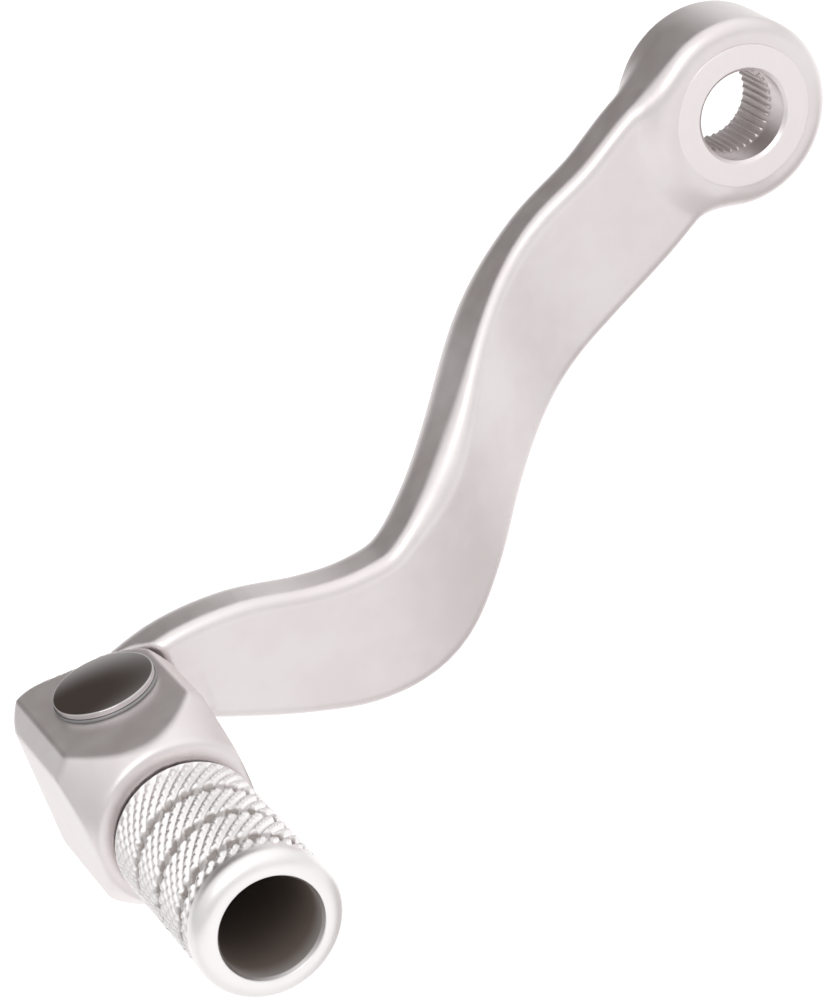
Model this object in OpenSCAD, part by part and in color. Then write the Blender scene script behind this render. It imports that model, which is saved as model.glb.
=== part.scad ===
// Motorcycle gear shift lever with a spring-loaded folding toe peg.
// X runs along the lever and points to the rear, -Y points outboard, +Z points up.
// The origin is the middle of the splined hub bore, on the shift shaft's axis.

/* [Hub] */
// Outside radius of the hub
hub_r = 13.8; // [12.5:0.1:17]
// Width of the hub along the shaft
hub_width = 13; // [12:0.5:18]
// How far the hub's outboard boss stands proud of the arm's face
boss_rise = 1.6; // [0.5:0.1:2.5]
// Radius of the turned register on the boss's face
register_r = 10.4; // [9:0.1:12]
// Step height of that register
register_step = 0.3; // [0.1:0.1:0.8]
// Radius of the smooth bore that takes the retaining screw's collar
collar_bore_r = 6.55; // [6.3:0.05:8]
// Depth of that smooth bore from the outboard face
collar_bore_depth = 4.3; // [3:0.1:6]
// Radius at the roots of the internal spline
spline_root_r = 6.5; // [6.3:0.05:7]
// Radius at the tips of the internal spline
spline_tip_r = 6.05; // [5.5:0.05:6.2]
// Teeth of the internal spline
spline_teeth = 36; // [24:1:40]

/* [Arm] */
// Distance along X from the shift shaft to the fold pivot
arm_reach = 119.5; // [95:0.1:150]
// Distance outboard from the middle of the hub to the fold pivot
arm_offset = 29.8; // [26:0.1:36]
// Drop from the shift shaft to the middle of the tongue
arm_drop = 29.2; // [22:0.1:38]
// Depth of the forged bar, across its length in the side view
arm_depth = 20.3; // [17:0.1:24]
// Thickness of the bar where it leaves the hub
arm_thick_hub = 9; // [8:0.1:11]
// Thickness of the bar half way through its swing outboard
arm_thick_neck = 13.8; // [10:0.1:15]
// Thickness of the bar beside the knuckle
arm_thick_tip = 9.5; // [8.5:0.1:12]
// How far the bar's outboard face lies inboard of the fold pivot
arm_inset = 3.8; // [2:0.1:5]

/* [Fold pivot] */
// Radius of the pivot pin's shank
pin_r = 3.95; // [3:0.05:4.5]
// Running clearance between the pin and its bush, on the radius
pin_clearance = 0.05; // [0.02:0.01:0.1]
// Wall of the pivot bush
bush_wall = 0.95; // [0.7:0.05:1.5]
// Radius of the eye at the end of the tongue
eye_r = 8.2; // [7.6:0.1:9]
// Thickness of the tongue
tongue_thick = 6.6; // [6:0.1:8]
// Thickness of each thrust washer
thrust_washer_thick = 0.8; // [0.5:0.1:1.2]
// Gap left on each side of a thrust washer
thrust_gap = 0.05; // [0.02:0.01:0.1]
// Radius of the pin's domed head
head_r = 7.05; // [6.5:0.05:8]
// Height of the head's edge
head_edge = 0.8; // [0.5:0.1:1.5]
// Rise of the dome above that edge
head_dome = 0.5; // [0.2:0.1:1.2]
// Thickness of the washer under the head
head_washer_thick = 0.45; // [0.3:0.05:1]
// Size of the lock nut across its flats
nut_flats = 10; // [9:0.5:11]
// Height of the lock nut
nut_height = 4; // [3:0.1:5]
// Radius of the pin's threaded end
thread_r = 3; // [2.5:0.1:3.5]
// Angle through which the peg folds to the rear, in degrees
fold_angle = 40; // [10:1:42]
// Wire radius of the return spring
wire_r = 0.5; // [0.35:0.05:0.55]
// Turns of the return spring
spring_turns = 3; // [2:1:3]

/* [Knuckle] */
// Distance from the pivot to the side face away from the arm
far_side = 12.6; // [11.5:0.1:14]
// Distance from the pivot to the side face next to the arm
near_side = 9.7; // [9:0.1:11]
// Height of the top face above the peg's axis
knuckle_top = 12.9; // [11.5:0.1:14]
// Depth of the bottom face below the peg's axis
knuckle_bottom = 10.8; // [10.5:0.1:13]
// Chamfer along the top edge away from the arm
far_chamfer = 2.5; // [1:0.1:3]
// Chamfer along the two edges next to the arm
near_chamfer = 1.5; // [0.8:0.1:2.5]
// Chamfer along the bottom edge away from the arm
base_chamfer = 3.2; // [1.5:0.1:4]
// Length from the fold pivot to the seat of the peg
knuckle_nose = 19.2; // [18.5:0.1:26]
// Thickness of the upper ear
upper_ear = 4.8; // [3.5:0.1:6]
// Radius of the cone where it ends at the peg
nose_r = 10.3; // [10.1:0.1:12]
// Half-angle of the turned cone on the nose, in degrees
nose_angle = 24; // [15:1:35]
// Radius of the rounding where the cone meets the nose's end face
nose_round = 1.6; // [1:0.1:4]
// How far the cone's axis lies above the peg's axis
nose_rise = 0.8; // [0:0.1:1.2]
// Distance from the pivot to the flat behind it
ear_back = 9.3; // [8.6:0.1:9.6]
// Distance from the pivot to the rear of the stop heel
heel_back = 12; // [10.5:0.1:13]

/* [Toe peg] */
// Distance from the fold pivot to the peg's axis, away from the arm
peg_shift = 0.9; // [0:0.1:1.5]
// Radius over the knurl
peg_r = 10; // [9:0.1:10]
// Radius of the smooth collar at the end
peg_collar_r = 10.1; // [9.5:0.1:11]
// Length of the peg that stands out of the knuckle
peg_length = 30.2; // [24:0.2:45]
// Length of the smooth end beyond the knurl
smooth_end = 3.2; // [3:0.1:10]
// Distance between the grooves round the knurl
groove_pitch = 7.6; // [5:0.1:9]
// Radius of the hollow
peg_hole_r = 6.85; // [6:0.05:7.2]
// Radius of the shank in the knuckle
shank_r = 8; // [7.8:0.1:8.8]
// Length of the shank in the knuckle
shank_length = 10; // [8:0.1:10.2]

/* [Hidden] */
$fn = 96;
eps = 0.01;
clearance = 0.4;                                   // between the arm and the swinging knuckle
face_y = -hub_width / 2;                           // outboard face of the hub
seat_y = hub_width / 2;                            // inboard face of the hub
pivot = [-arm_reach, -arm_offset, 0];
tongue_z = -arm_drop;                              // middle of the tongue and of the slot
slot_height = tongue_thick + 2 * thrust_washer_thick + 4 * thrust_gap;
slot_top = tongue_z + slot_height / 2;
slot_bottom = tongue_z - slot_height / 2;
tongue_top = tongue_z + tongue_thick / 2;
tongue_bottom = tongue_z - tongue_thick / 2;
top_z = slot_top + upper_ear;                      // top face of the knuckle
peg_z = top_z - knuckle_top;                       // height of the peg's axis
base_z = peg_z - knuckle_bottom;                   // underside of the knuckle
nose_y = pivot.y - knuckle_nose;                   // where the peg leaves the knuckle
peg_x = pivot.x - peg_shift;                       // the peg's axis
near_inset = near_side + peg_shift;                // side faces measured from the peg's axis
far_inset = far_side - peg_shift;
swing_r = near_side + clearance;                   // recess that the ears turn in
slot_r = eye_r + 0.3;                              // pocket that the eye turns in
pin_fit = 0.02;                                    // between the pin and the knuckle
washer_play = 0.15;                                // between a washer and the pin
leg_play = 0.1;                                    // between a spring leg and its hole
bush_r = pin_r + pin_clearance + bush_wall;
washer_r = eye_r - 0.2;
stop_angle = 122;                                  // face of the knuckle's stop, from +X
slot_from = 12 - fold_angle;                       // other side of the slot, from +X
lug_r = ear_back + 0.8;
heel_bevel = 2.6;
coil_play = 0.35;                                  // round the spring's coil, inside and outside
spring_mean_r = bush_r + coil_play + wire_r;
pocket_r = spring_mean_r + wire_r + coil_play;
spring_pitch = 2 * wire_r + 0.15;
pocket_depth = spring_turns * spring_pitch + 2 * wire_r + 0.3;
nut_depth = 1;                                     // from the knuckle's underside to the nut
nut_seat_z = base_z + nut_height + nut_depth;
counterbore_r = nut_flats / sqrt(3) + 0.6;

// Stations of the bar, hub to tip: distance as a share of the reach, height as a share
// of the drop, and depth as a share of arm_depth. The shares shape the curve only.
STATIONS = [
    [0.00, 0.00, 1.00],
    [0.08, 0.04, 1.00],
    [0.17, 0.215, 0.99],
    [0.26, 0.36, 1.01],
    [0.36, 0.56, 0.955],
    [0.46, 0.82, 0.85],
    [0.54, 1.04, 0.91],
    [0.61, 1.19, 0.97],
    [0.68, 1.20, 0.98],
    [0.75, 1.12, 0.91],
    [0.83, 0.985, 0.83],
    [0.90, 0.905, 0.66],
    [0.97, 0.90, 0.46]
];
STEPS = 6;                                         // points per stretch between stations
JOG_START = 0.23;                                  // where the bar starts to move outboard
JOG_END = 0.70;                                    // where it has moved all the way

// Catmull-Rom curve between b and c, with neighbours a and d, at t from 0 to 1.
function bend(a, b, c, d, t) = 0.5 * (2 * b + (c - a) * t
    + (2 * a - 5 * b + 4 * c - d) * t * t + (3 * b - a - 3 * c + d) * t * t * t);
function station(i) = STATIONS[max(0, min(len(STATIONS) - 1, i))];
LINE = [
    for (i = [0 : len(STATIONS) - 2], k = [0 : STEPS - 1])
        bend(station(i - 1), station(i), station(i + 1), station(i + 2), k / STEPS),
    station(len(STATIONS) - 1)
];
function spine(i) = [LINE[i][0] * peg_x, -LINE[i][1] * arm_drop];
function along(i) = spine(min(i + 1, len(LINE) - 1)) - spine(max(i - 1, 0));
function across(i) = [along(i)[1], -along(i)[0]] / norm(along(i));
function edge(i, side) = spine(i) + side * across(i) * LINE[i][2] * arm_depth / 2;

// Smooth step from 0 to 1 with no slope and no curvature at its ends.
function ease(t) = let (s = max(0, min(1, t))) s * s * s * (s * (6 * s - 15) + 10);
hub_mid_y = face_y + boss_rise + arm_thick_hub / 2;
tip_mid_y = pivot.y + arm_inset + arm_thick_tip / 2;
function jog(x) = ease((x / peg_x - JOG_START) / (JOG_END - JOG_START));
function mid_y(x) = hub_mid_y + (tip_mid_y - hub_mid_y) * jog(x);
neck_extra = arm_thick_neck - (arm_thick_hub + arm_thick_tip) / 2;
function thick(x) = arm_thick_hub + (arm_thick_tip - arm_thick_hub) * jog(x)
    + 4 * neck_extra * jog(x) * (1 - jog(x));
bar_end = 4.5;                                     // from the pivot to the end of the bar
PLAN_X = [for (i = [0 : 60]) i / 60 * (pivot.x + bar_end)];

// Turns a shape drawn along Z so that its axis runs along Y, towards +Y.
module along_y() { rotate([-90, 0, 0]) children(); }

// Side view of the bar, extruded across the lever.
module side_profile() {
    upper = [for (i = [0 : len(LINE) - 1]) edge(i, 1)];
    lower = [for (i = [len(LINE) - 1 : -1 : 0]) edge(i, -1)];
    rotate([90, 0, 0])
        linear_extrude(height = 4 * arm_offset, center = true)
            polygon(concat(upper, lower));
}

// Plan view of the bar, extruded up and down.
module plan_profile() {
    front = [for (x = PLAN_X) [x, mid_y(x) - thick(x) / 2]];
    back = [for (i = [len(PLAN_X) - 1 : -1 : 0]) [PLAN_X[i], mid_y(PLAN_X[i]) + thick(PLAN_X[i]) / 2]];
    linear_extrude(height = 6 * arm_drop, center = true) polygon(concat(front, back));
}

// Internal spline as a star of straight-sided teeth, whose points the bore cuts flat.
module spline_outline() {
    step = 360 / spline_teeth;
    point_r = 2 * spline_tip_r - spline_root_r - 0.2;
    polygon([
        for (i = [0 : spline_teeth - 1], c = [[-0.3, spline_root_r], [0.3, spline_root_r], [0.5, point_r]])
            let (a = (i + c[0]) * step) c[1] * [cos(a), sin(a)]
    ]);
}

// Solid of the hub, turned about the shaft's axis.
module hub_solid() {
    round = 1.6;
    translate([0, face_y, 0]) along_y() rotate_extrude() polygon(concat(
        [[0, 0], [register_r, 0], [register_r, register_step], [hub_r - round, register_step]],
        [for (a = [75 : -15 : 0]) [hub_r - round + round * cos(a), register_step + round * (1 - sin(a))]],
        [[hub_r, hub_width - 1], [hub_r - 1, hub_width], [0, hub_width]]
    ));
}

module hub_bore() {
    lead = 0.5;
    spline_start = collar_bore_depth + collar_bore_r - spline_tip_r;
    translate([0, face_y, 0]) along_y() {
        translate([0, 0, -eps]) cylinder(r1 = collar_bore_r + lead, r2 = collar_bore_r, h = lead + eps);
        translate([0, 0, -1]) cylinder(r = collar_bore_r, h = collar_bore_depth + 1);
        translate([0, 0, collar_bore_depth - eps])
            cylinder(r1 = collar_bore_r, r2 = spline_tip_r, h = collar_bore_r - spline_tip_r + eps);
        translate([0, 0, spline_start - 1]) cylinder(r = spline_tip_r, h = hub_width);
        translate([0, 0, collar_bore_depth + 0.2]) linear_extrude(height = hub_width) spline_outline();
        translate([0, 0, hub_width - 1]) cylinder(r1 = spline_root_r + lead - 1, r2 = spline_root_r + lead + 1, h = 2);
    }
}

// Sector of a disc about the fold pivot, between two angles measured from +X.
module sector(radius, from, to) {
    far = radius / cos((to - from) / 8);
    polygon(concat([[0, 0]], [for (i = [0 : 4]) let (a = from + (to - from) * i / 4) far * [cos(a), sin(a)]]));
}

// Outline of the tongue: the eye, the stop lug and the neck back to the bar.
module tongue_outline() {
    neck = swing_r + 3;
    back = arm_inset + arm_thick_tip;
    lug = stop_angle - 0.6;
    circle(r = eye_r);
    polygon([
        [0, 0], [arm_inset, arm_inset], [neck, arm_inset], [neck, back], [bar_end, back], [bar_end, back - 1],
        [0, lug_r], 0.985 * lug_r * [cos(lug), sin(lug)]
    ]);
}

module lever_arm() {
    color([0.86, 0.84, 0.84])
    difference() {
        union() {
            difference() {
                intersection() {
                    side_profile();
                    plan_profile();
                }
                // recess for the ears, above and below the tongue
                translate([pivot.x, pivot.y, tongue_top]) cylinder(r = swing_r, h = arm_drop);
                translate([pivot.x, pivot.y, tongue_bottom - arm_drop]) cylinder(r = swing_r, h = arm_drop);
                // relief for the knuckle's side when the peg is folded
                translate([pivot.x, pivot.y, -2 * arm_drop]) rotate([0, 0, fold_angle])
                    translate([-swing_r, -3 * swing_r, 0])
                        cube([2 * swing_r, 3 * swing_r, 2 * arm_drop]);
            }
            translate([pivot.x, pivot.y, tongue_bottom])
                linear_extrude(height = tongue_thick) tongue_outline();
            hub_solid();
        }
        hub_bore();
        translate([pivot.x, pivot.y, tongue_bottom - 1]) cylinder(r = bush_r, h = tongue_thick + 2);
        translate([pivot.x, pivot.y, tongue_top - pocket_depth]) cylinder(r = pocket_r, h = pocket_depth + 1);
        // anchor hole of the spring's lower leg
        translate([pivot.x + spring_mean_r, pivot.y, tongue_bottom - 1])
            cylinder(r = wire_r + leg_play, h = tongue_thick + 1);
    }
}

module pivot_bush() {
    color([0.72, 0.56, 0.30])
    translate([pivot.x, pivot.y, tongue_bottom]) difference() {
        cylinder(r = bush_r, h = tongue_thick);
        translate([0, 0, -1]) cylinder(r = pin_r + pin_clearance, h = tongue_thick + 2);
    }
}

// Plan of the knuckle about the fold pivot, with its nose towards -Y.
module knuckle_outline() {
    intersection() {
        circle(r = near_side);
        translate([-near_side, -near_side]) square([2 * near_side, near_side + ear_back]);
    }
    translate([-far_side, -knuckle_nose]) square([far_side + near_side, knuckle_nose]);
    polygon([
        [-far_side, -1], [0, -1], [0, ear_back], [heel_bevel - far_side, heel_back],
        [-far_side, heel_back - heel_bevel]
    ]);
}

// Turned envelope of the knuckle: a cone about a line just above the peg, rounded at the nose.
module knuckle_turning() {
    big = 2 * knuckle_top;
    tangent = 90 - nose_angle;
    rounding = [
        for (i = [0 : 6]) let (a = i / 6 * tangent)
            [nose_r + nose_round * sin(a), nose_round * (1 - cos(a))]
    ];
    run = rounding[6].y + (big - rounding[6].x) / tan(nose_angle);
    translate([peg_x, nose_y, peg_z + nose_rise]) along_y()
        rotate_extrude() polygon(concat([[0, 0]], rounding, [[big, run], [0, run]]));
}

// Bar section of the knuckle, with its four long edges chamfered.
module knuckle_section() {
    t = knuckle_top;
    b = knuckle_bottom;
    translate([peg_x, 0, peg_z]) rotate([90, 0, 0])
        linear_extrude(height = 4 * (arm_offset + knuckle_nose), center = true) polygon([
            [far_chamfer - far_inset, t], [near_inset - near_chamfer, t],
            [near_inset, t - near_chamfer], [near_inset, near_chamfer - b],
            [near_inset - near_chamfer, -b], [base_chamfer - far_inset, -b],
            [-far_inset, base_chamfer - b], [-far_inset, t - far_chamfer]
        ]);
}

module tip_knuckle() {
    color([0.84, 0.82, 0.83])
    difference() {
        intersection() {
            translate([pivot.x, pivot.y, base_z - 1])
                linear_extrude(height = top_z - base_z + 2) knuckle_outline();
            knuckle_section();
            knuckle_turning();
        }
        // slot for the tongue, open to the rear and to the side the peg folds towards
        translate([pivot.x, pivot.y, slot_bottom]) linear_extrude(height = slot_height) {
            circle(r = slot_r);
            sector(3 * far_side, slot_from, stop_angle);
        }
        translate([pivot.x, pivot.y, base_z - 1]) cylinder(r = pin_r + pin_fit, h = top_z - base_z + 2);
        translate([pivot.x, pivot.y, base_z - 1]) cylinder(r = counterbore_r, h = nut_seat_z - base_z + 1);
        // anchor hole of the spring's upper leg
        translate([pivot.x + spring_mean_r, pivot.y, slot_top - 1]) cylinder(r = wire_r + leg_play, h = 2.5);
        // bored seat of the peg
        translate([peg_x, nose_y - 1, peg_z]) along_y() cylinder(r = shank_r, h = shank_length + 1);
    }
}

module toe_peg() {
    neck_r = peg_r - 0.9;
    neck = 0.8;
    groove = 1.2;
    depth = 0.5;
    edge_round = 2.2;
    knurl_length = peg_length - smooth_end;
    rows = ceil((knurl_length - neck) / groove_pitch);
    core = [
        [0, shank_length], [shank_r, shank_length], [shank_r, 0], [neck_r, 0], [neck_r, -neck]
    ];
    bands = [
        for (i = [0 : rows - 1], c = [[0, 0], [1, 0], [1, 1], [0, 1]])
            let (
                start = neck + i * groove_pitch + (i == 0 ? 0 : groove / 2),
                end = i == rows - 1 ? knurl_length : neck + (i + 1) * groove_pitch - groove / 2
            )
                [peg_r - depth * (1 - c[0]), -(c[1] == 0 ? start : end)]
    ];
    arc = [
        for (a = [0 : 15 : 75])
            [peg_collar_r - edge_round * (1 - cos(a)), -peg_length + edge_round * (1 - sin(a))]
    ];
    color([0.9, 0.89, 0.89])
    translate([peg_x, nose_y, peg_z]) along_y() difference() {
        rotate_extrude() polygon(concat(core, bands,
            [[peg_collar_r, -knurl_length - (peg_collar_r - peg_r + depth)]], arc,
            [[peg_collar_r - edge_round, -peg_length], [0, -peg_length]]));
        translate([0, 0, -peg_length - 1]) cylinder(r = peg_hole_r, h = peg_length + shank_length - 0.5);
        translate([0, 0, -peg_length - eps]) cylinder(r1 = peg_hole_r + 0.5, r2 = peg_hole_r, h = 0.5);
    }
}

module pivot_pin() {
    head_z = top_z + head_washer_thick;
    cap_r = (head_r * head_r + head_dome * head_dome) / (2 * head_dome);
    color([0.55, 0.55, 0.57])
    translate([pivot.x, pivot.y, 0]) {
        translate([0, 0, head_z]) cylinder(r = head_r, h = head_edge);
        translate([0, 0, head_z + head_edge]) intersection() {
            translate([0, 0, head_dome - cap_r]) sphere(r = cap_r);
            translate([0, 0, -eps]) cylinder(r = head_r, h = head_dome + 1);
        }
        translate([0, 0, nut_seat_z]) cylinder(r = pin_r, h = head_z - nut_seat_z + eps);
        translate([0, 0, base_z + nut_depth / 2]) cylinder(r = thread_r, h = nut_seat_z - base_z);
    }
}

// Flat ring about the fold pivot.
module ring(outer, inner, z, thick) {
    translate([pivot.x, pivot.y, z]) difference() {
        cylinder(r = outer, h = thick);
        translate([0, 0, -1]) cylinder(r = inner, h = thick + 2);
    }
}

module head_washer() {
    color([0.62, 0.62, 0.64]) ring(head_r + 0.2, pin_r + washer_play, top_z, head_washer_thick);
}

module lock_nut() {
    color([0.6, 0.6, 0.62])
    translate([pivot.x, pivot.y, nut_seat_z - nut_height]) difference() {
        cylinder(r = nut_flats / sqrt(3), h = nut_height, $fn = 6);
        translate([0, 0, -1]) cylinder(r = thread_r, h = nut_height + 2);
    }
}

module upper_thrust_washer() {
    color([0.16, 0.16, 0.17]) difference() {
        ring(washer_r, pin_r + washer_play, tongue_top + thrust_gap, thrust_washer_thick);
        translate([pivot.x + spring_mean_r, pivot.y, tongue_top]) cylinder(r = wire_r + leg_play, h = 2);
    }
}

module lower_thrust_washer() {
    color([0.16, 0.16, 0.17])
        ring(washer_r, pin_r + washer_play, tongue_bottom - thrust_gap - thrust_washer_thick, thrust_washer_thick);
}

// Torsion spring: a round wire wound about the bush, with a straight leg at each end.
module return_spring() {
    sides = 8;
    per_turn = 20;
    last = spring_turns * per_turn;
    bottom_z = tongue_top - pocket_depth + wire_r + 0.1;
    top_coil_z = bottom_z + spring_turns * spring_pitch;
    // rings along the wire: angle about the pivot, height, and the sideways and upward lean
    rings = concat(
        [[0, tongue_bottom + 0.3, 1, 0], [0, bottom_z, 1, 1]],
        [for (i = [1 : last - 1]) [-i * 360 / per_turn, bottom_z + i * spring_pitch / per_turn, 0, 1]],
        [[0, top_coil_z, 1, 1], [0, slot_top + 1.2, 1, 0]]
    );
    points = [
        for (ring = rings, s = [0 : sides - 1])
            let (b = s * 360 / sides, r = spring_mean_r + wire_r * cos(b), lean = wire_r * sin(b))
                [r * cos(ring[0]), r * sin(ring[0]) + lean * ring[2], ring[1] + lean * ring[3]]
    ];
    skin = [
        for (i = [0 : len(rings) - 2], s = [0 : sides - 1])
            let (n = (s + 1) % sides)
                [i * sides + s, (i + 1) * sides + s, (i + 1) * sides + n, i * sides + n]
    ];
    ends = [
        [for (s = [0 : sides - 1]) s],
        [for (s = [sides - 1 : -1 : 0]) (len(rings) - 1) * sides + s]
    ];
    color([0.45, 0.46, 0.48]) translate([pivot.x, pivot.y, 0])
        polyhedron(points = points, faces = concat(skin, ends));
}

lever_arm();
pivot_bush();
tip_knuckle();
toe_peg();
pivot_pin();
head_washer();
lock_nut();
upper_thrust_washer();
lower_thrust_washer();
return_spring();
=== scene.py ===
"""Looks of a motorcycle gear shift lever with a spring-loaded folding toe peg.

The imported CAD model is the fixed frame. Every detailed piece here is worked out with numpy, in
millimetres in the frame's own axes: X along the lever, -Y outboard, +Z up, with the origin in the
middle of the splined hub. Forged shapes are the zero level of a distance field, so that rounded edges
and fillets are part of the formula; turned and wound pieces are grids of two parameters.
"""

from __future__ import annotations

import logging
import math
from dataclasses import dataclass
from enum import Enum
from typing import Callable, Sequence

import bpy
import numpy as np
from mathutils import Matrix, Vector

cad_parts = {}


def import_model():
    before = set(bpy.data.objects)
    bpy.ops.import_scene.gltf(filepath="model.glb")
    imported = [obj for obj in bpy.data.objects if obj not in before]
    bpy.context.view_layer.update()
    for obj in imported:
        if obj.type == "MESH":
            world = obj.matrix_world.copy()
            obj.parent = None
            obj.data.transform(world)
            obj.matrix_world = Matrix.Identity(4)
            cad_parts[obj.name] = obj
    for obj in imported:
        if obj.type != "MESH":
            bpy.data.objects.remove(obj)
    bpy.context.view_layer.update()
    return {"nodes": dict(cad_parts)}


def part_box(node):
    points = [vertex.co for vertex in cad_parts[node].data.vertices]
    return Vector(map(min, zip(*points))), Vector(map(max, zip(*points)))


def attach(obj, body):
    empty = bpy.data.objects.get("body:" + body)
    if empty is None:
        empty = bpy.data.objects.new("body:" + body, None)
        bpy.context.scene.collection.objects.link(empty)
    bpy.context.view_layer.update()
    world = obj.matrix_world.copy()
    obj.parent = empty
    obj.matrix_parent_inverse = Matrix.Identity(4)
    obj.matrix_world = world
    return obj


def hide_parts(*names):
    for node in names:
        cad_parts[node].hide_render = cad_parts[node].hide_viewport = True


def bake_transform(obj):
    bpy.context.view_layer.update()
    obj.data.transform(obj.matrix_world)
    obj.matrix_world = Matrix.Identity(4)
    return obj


MM = 0.001
SLOPE_SPAN = 0.01
LEAST_SLOPE = 0.2
LESS_GREEN = 0.6
LESS_BLUE = 0.65
Array = np.ndarray
Field = Callable[[Array, Array, Array], Array]
log = logging.getLogger("gear_lever")


# ---------------------------------------------------------------------------------------------
# Distance fields
# ---------------------------------------------------------------------------------------------


def meet(a: Array, b: Array, radius: Array | float) -> Array:
    """Overlap of two solids, with their common edge rounded.

    Both distances are pushed out by the radius; past the edge the result is the length of the two
    positive parts, less the radius.

    Args:
        a: Distance to the first solid, negative inside.
        b: Distance to the second solid.
        radius: Radius of the rounded edge, in millimetres.

    Returns:
        Distance to the rounded overlap.
    """
    p, q = a + radius, b + radius
    return np.minimum(np.maximum(p, q), 0) + np.hypot(np.maximum(p, 0), np.maximum(q, 0)) - radius


def join(a: Array, b: Array, radius: float) -> Array:
    """Union of two solids, with a fillet where they meet: the rounded overlap of their outsides.

    Args:
        a: Distance to the first solid.
        b: Distance to the second solid.
        radius: Radius of the fillet, in millimetres.

    Returns:
        Distance to the filleted union.
    """
    return -meet(-a, -b, radius)


def cut(a: Array, b: Array, radius: float) -> Array:
    """First solid less the second, with the new edge rounded.

    Args:
        a: Distance to the solid that stays.
        b: Distance to the solid that is removed.
        radius: Radius of the rounded edge, in millimetres.

    Returns:
        Distance to what is left.
    """
    return meet(a, -b, radius)


def outline_distance(u: Array, v: Array, outline: Array) -> Array:
    """Distance to a closed outline: the nearest point over its edges, negative inside.

    A point is inside where a ray towards +u crosses the outline an odd number of times.

    Args:
        u: First coordinate of the points.
        v: Second coordinate of the points.
        outline: Corners of the outline, one row each.

    Returns:
        Signed distances in the shape of u and v together.
    """
    u, v = np.broadcast_arrays(u, v)
    best = np.full(u.shape, np.inf)
    inside = np.zeros(u.shape, bool)
    for (au, av), (bu, bv) in zip(outline, np.roll(outline, -1, axis=0)):
        eu, ev, pu, pv = bu - au, bv - av, u - au, v - av
        share = np.clip((pu * eu + pv * ev) / (eu * eu + ev * ev + 1e-12), 0, 1)
        best = np.minimum(best, (pu - share * eu) ** 2 + (pv - share * ev) ** 2)
        side = pu * ev - pv * eu
        inside ^= ((av <= v) & (v < bv) & (side < 0)) | ((bv <= v) & (v < av) & (side > 0))
    return np.where(inside, -1.0, 1.0) * np.sqrt(best)


def field_surface(
    field: Field, low: Sequence[float], high: Sequence[float], step: float
) -> tuple[Array, Array]:
    """Closed surface where a field is zero, as quads.

    The field is sampled on a grid. Each grid cell that the surface passes through gets one vertex, the
    mean of the crossings on its edges, and each crossed edge gets a quad through its four cells. The
    vertices then slide down the field's gradient until they lie on the surface.

    Args:
        field: Signed distance as a function of x, y and z, in millimetres.
        low: Lowest corner of the sampled box.
        high: Highest corner of the sampled box.
        step: Spacing of the grid.

    Returns:
        Vertex positions and quads of vertex numbers.
    """
    axes = [np.arange(a - 2 * step, b + 3 * step, step) for a, b in zip(low, high)]
    x, y, z = axes[0][:, None, None], axes[1][None, :, None], axes[2][None, None, :]
    value = np.broadcast_to(field(x, y, z), tuple(len(a) for a in axes))
    cells = tuple(n - 1 for n in value.shape)
    total = np.zeros((3, math.prod(cells)))
    count = np.zeros(math.prod(cells))
    quads = []
    for axis in range(3):
        others = [k for k in range(3) if k != axis]
        first = np.take(value, range(cells[axis]), axis)
        second = np.take(value, range(1, cells[axis] + 1), axis)
        at = np.argwhere((first < 0) != (second < 0))
        start, end = first[tuple(at.T)], second[tuple(at.T)]
        point = np.stack([axes[k][at[:, k]] for k in range(3)])
        point[axis] += start / (start - end) * step
        ring = []
        for du, dv in ((-1, -1), (0, -1), (0, 0), (-1, 0)):
            cell = at.copy()
            cell[:, others[0]] += du
            cell[:, others[1]] += dv
            flat = np.ravel_multi_index(tuple(cell.T), cells)
            count += np.bincount(flat, minlength=len(count))
            total += np.stack([np.bincount(flat, weights=row, minlength=len(count)) for row in point])
            ring.append(flat)
        quad = np.stack(ring, 1)
        turn = (start < 0) == (axis == 1)
        quads.append(np.where(turn[:, None], quad[:, ::-1], quad))
    used = np.flatnonzero(count)
    number = np.full(len(count), -1)
    number[used] = np.arange(len(used))
    points = (total[:, used] / count[used]).T
    return settle(field, points, step), number[np.concatenate(quads)]


def settle(field: Field, points: Array, step: float, rounds: int = 5) -> Array:
    """Moves points onto a field's zero level by Newton's method along the gradient.

    The slope along each axis is the field's difference over twice SLOPE_SPAN. Where it nearly vanishes,
    its square is taken as LEAST_SLOPE, so that no point is thrown far.

    Args:
        field: Signed distance as a function of x, y and z.
        points: Positions, one row each.
        step: Longest allowed move in a round.
        rounds: Number of rounds.

    Returns:
        The moved points.
    """
    h = SLOPE_SPAN
    for _ in range(rounds):
        x, y, z = points.T
        here = field(x, y, z)
        slope = np.stack(
            [
                field(x + h, y, z) - field(x - h, y, z),
                field(x, y + h, z) - field(x, y - h, z),
                field(x, y, z + h) - field(x, y, z - h),
            ],
            1,
        ) / (2 * h)
        move = here[:, None] * slope / np.maximum((slope**2).sum(1), LEAST_SLOPE)[:, None]
        points = points - np.clip(move, -step / 2, step / 2)
    return points


# ---------------------------------------------------------------------------------------------
# Grids, profiles and meshes
# ---------------------------------------------------------------------------------------------


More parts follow.
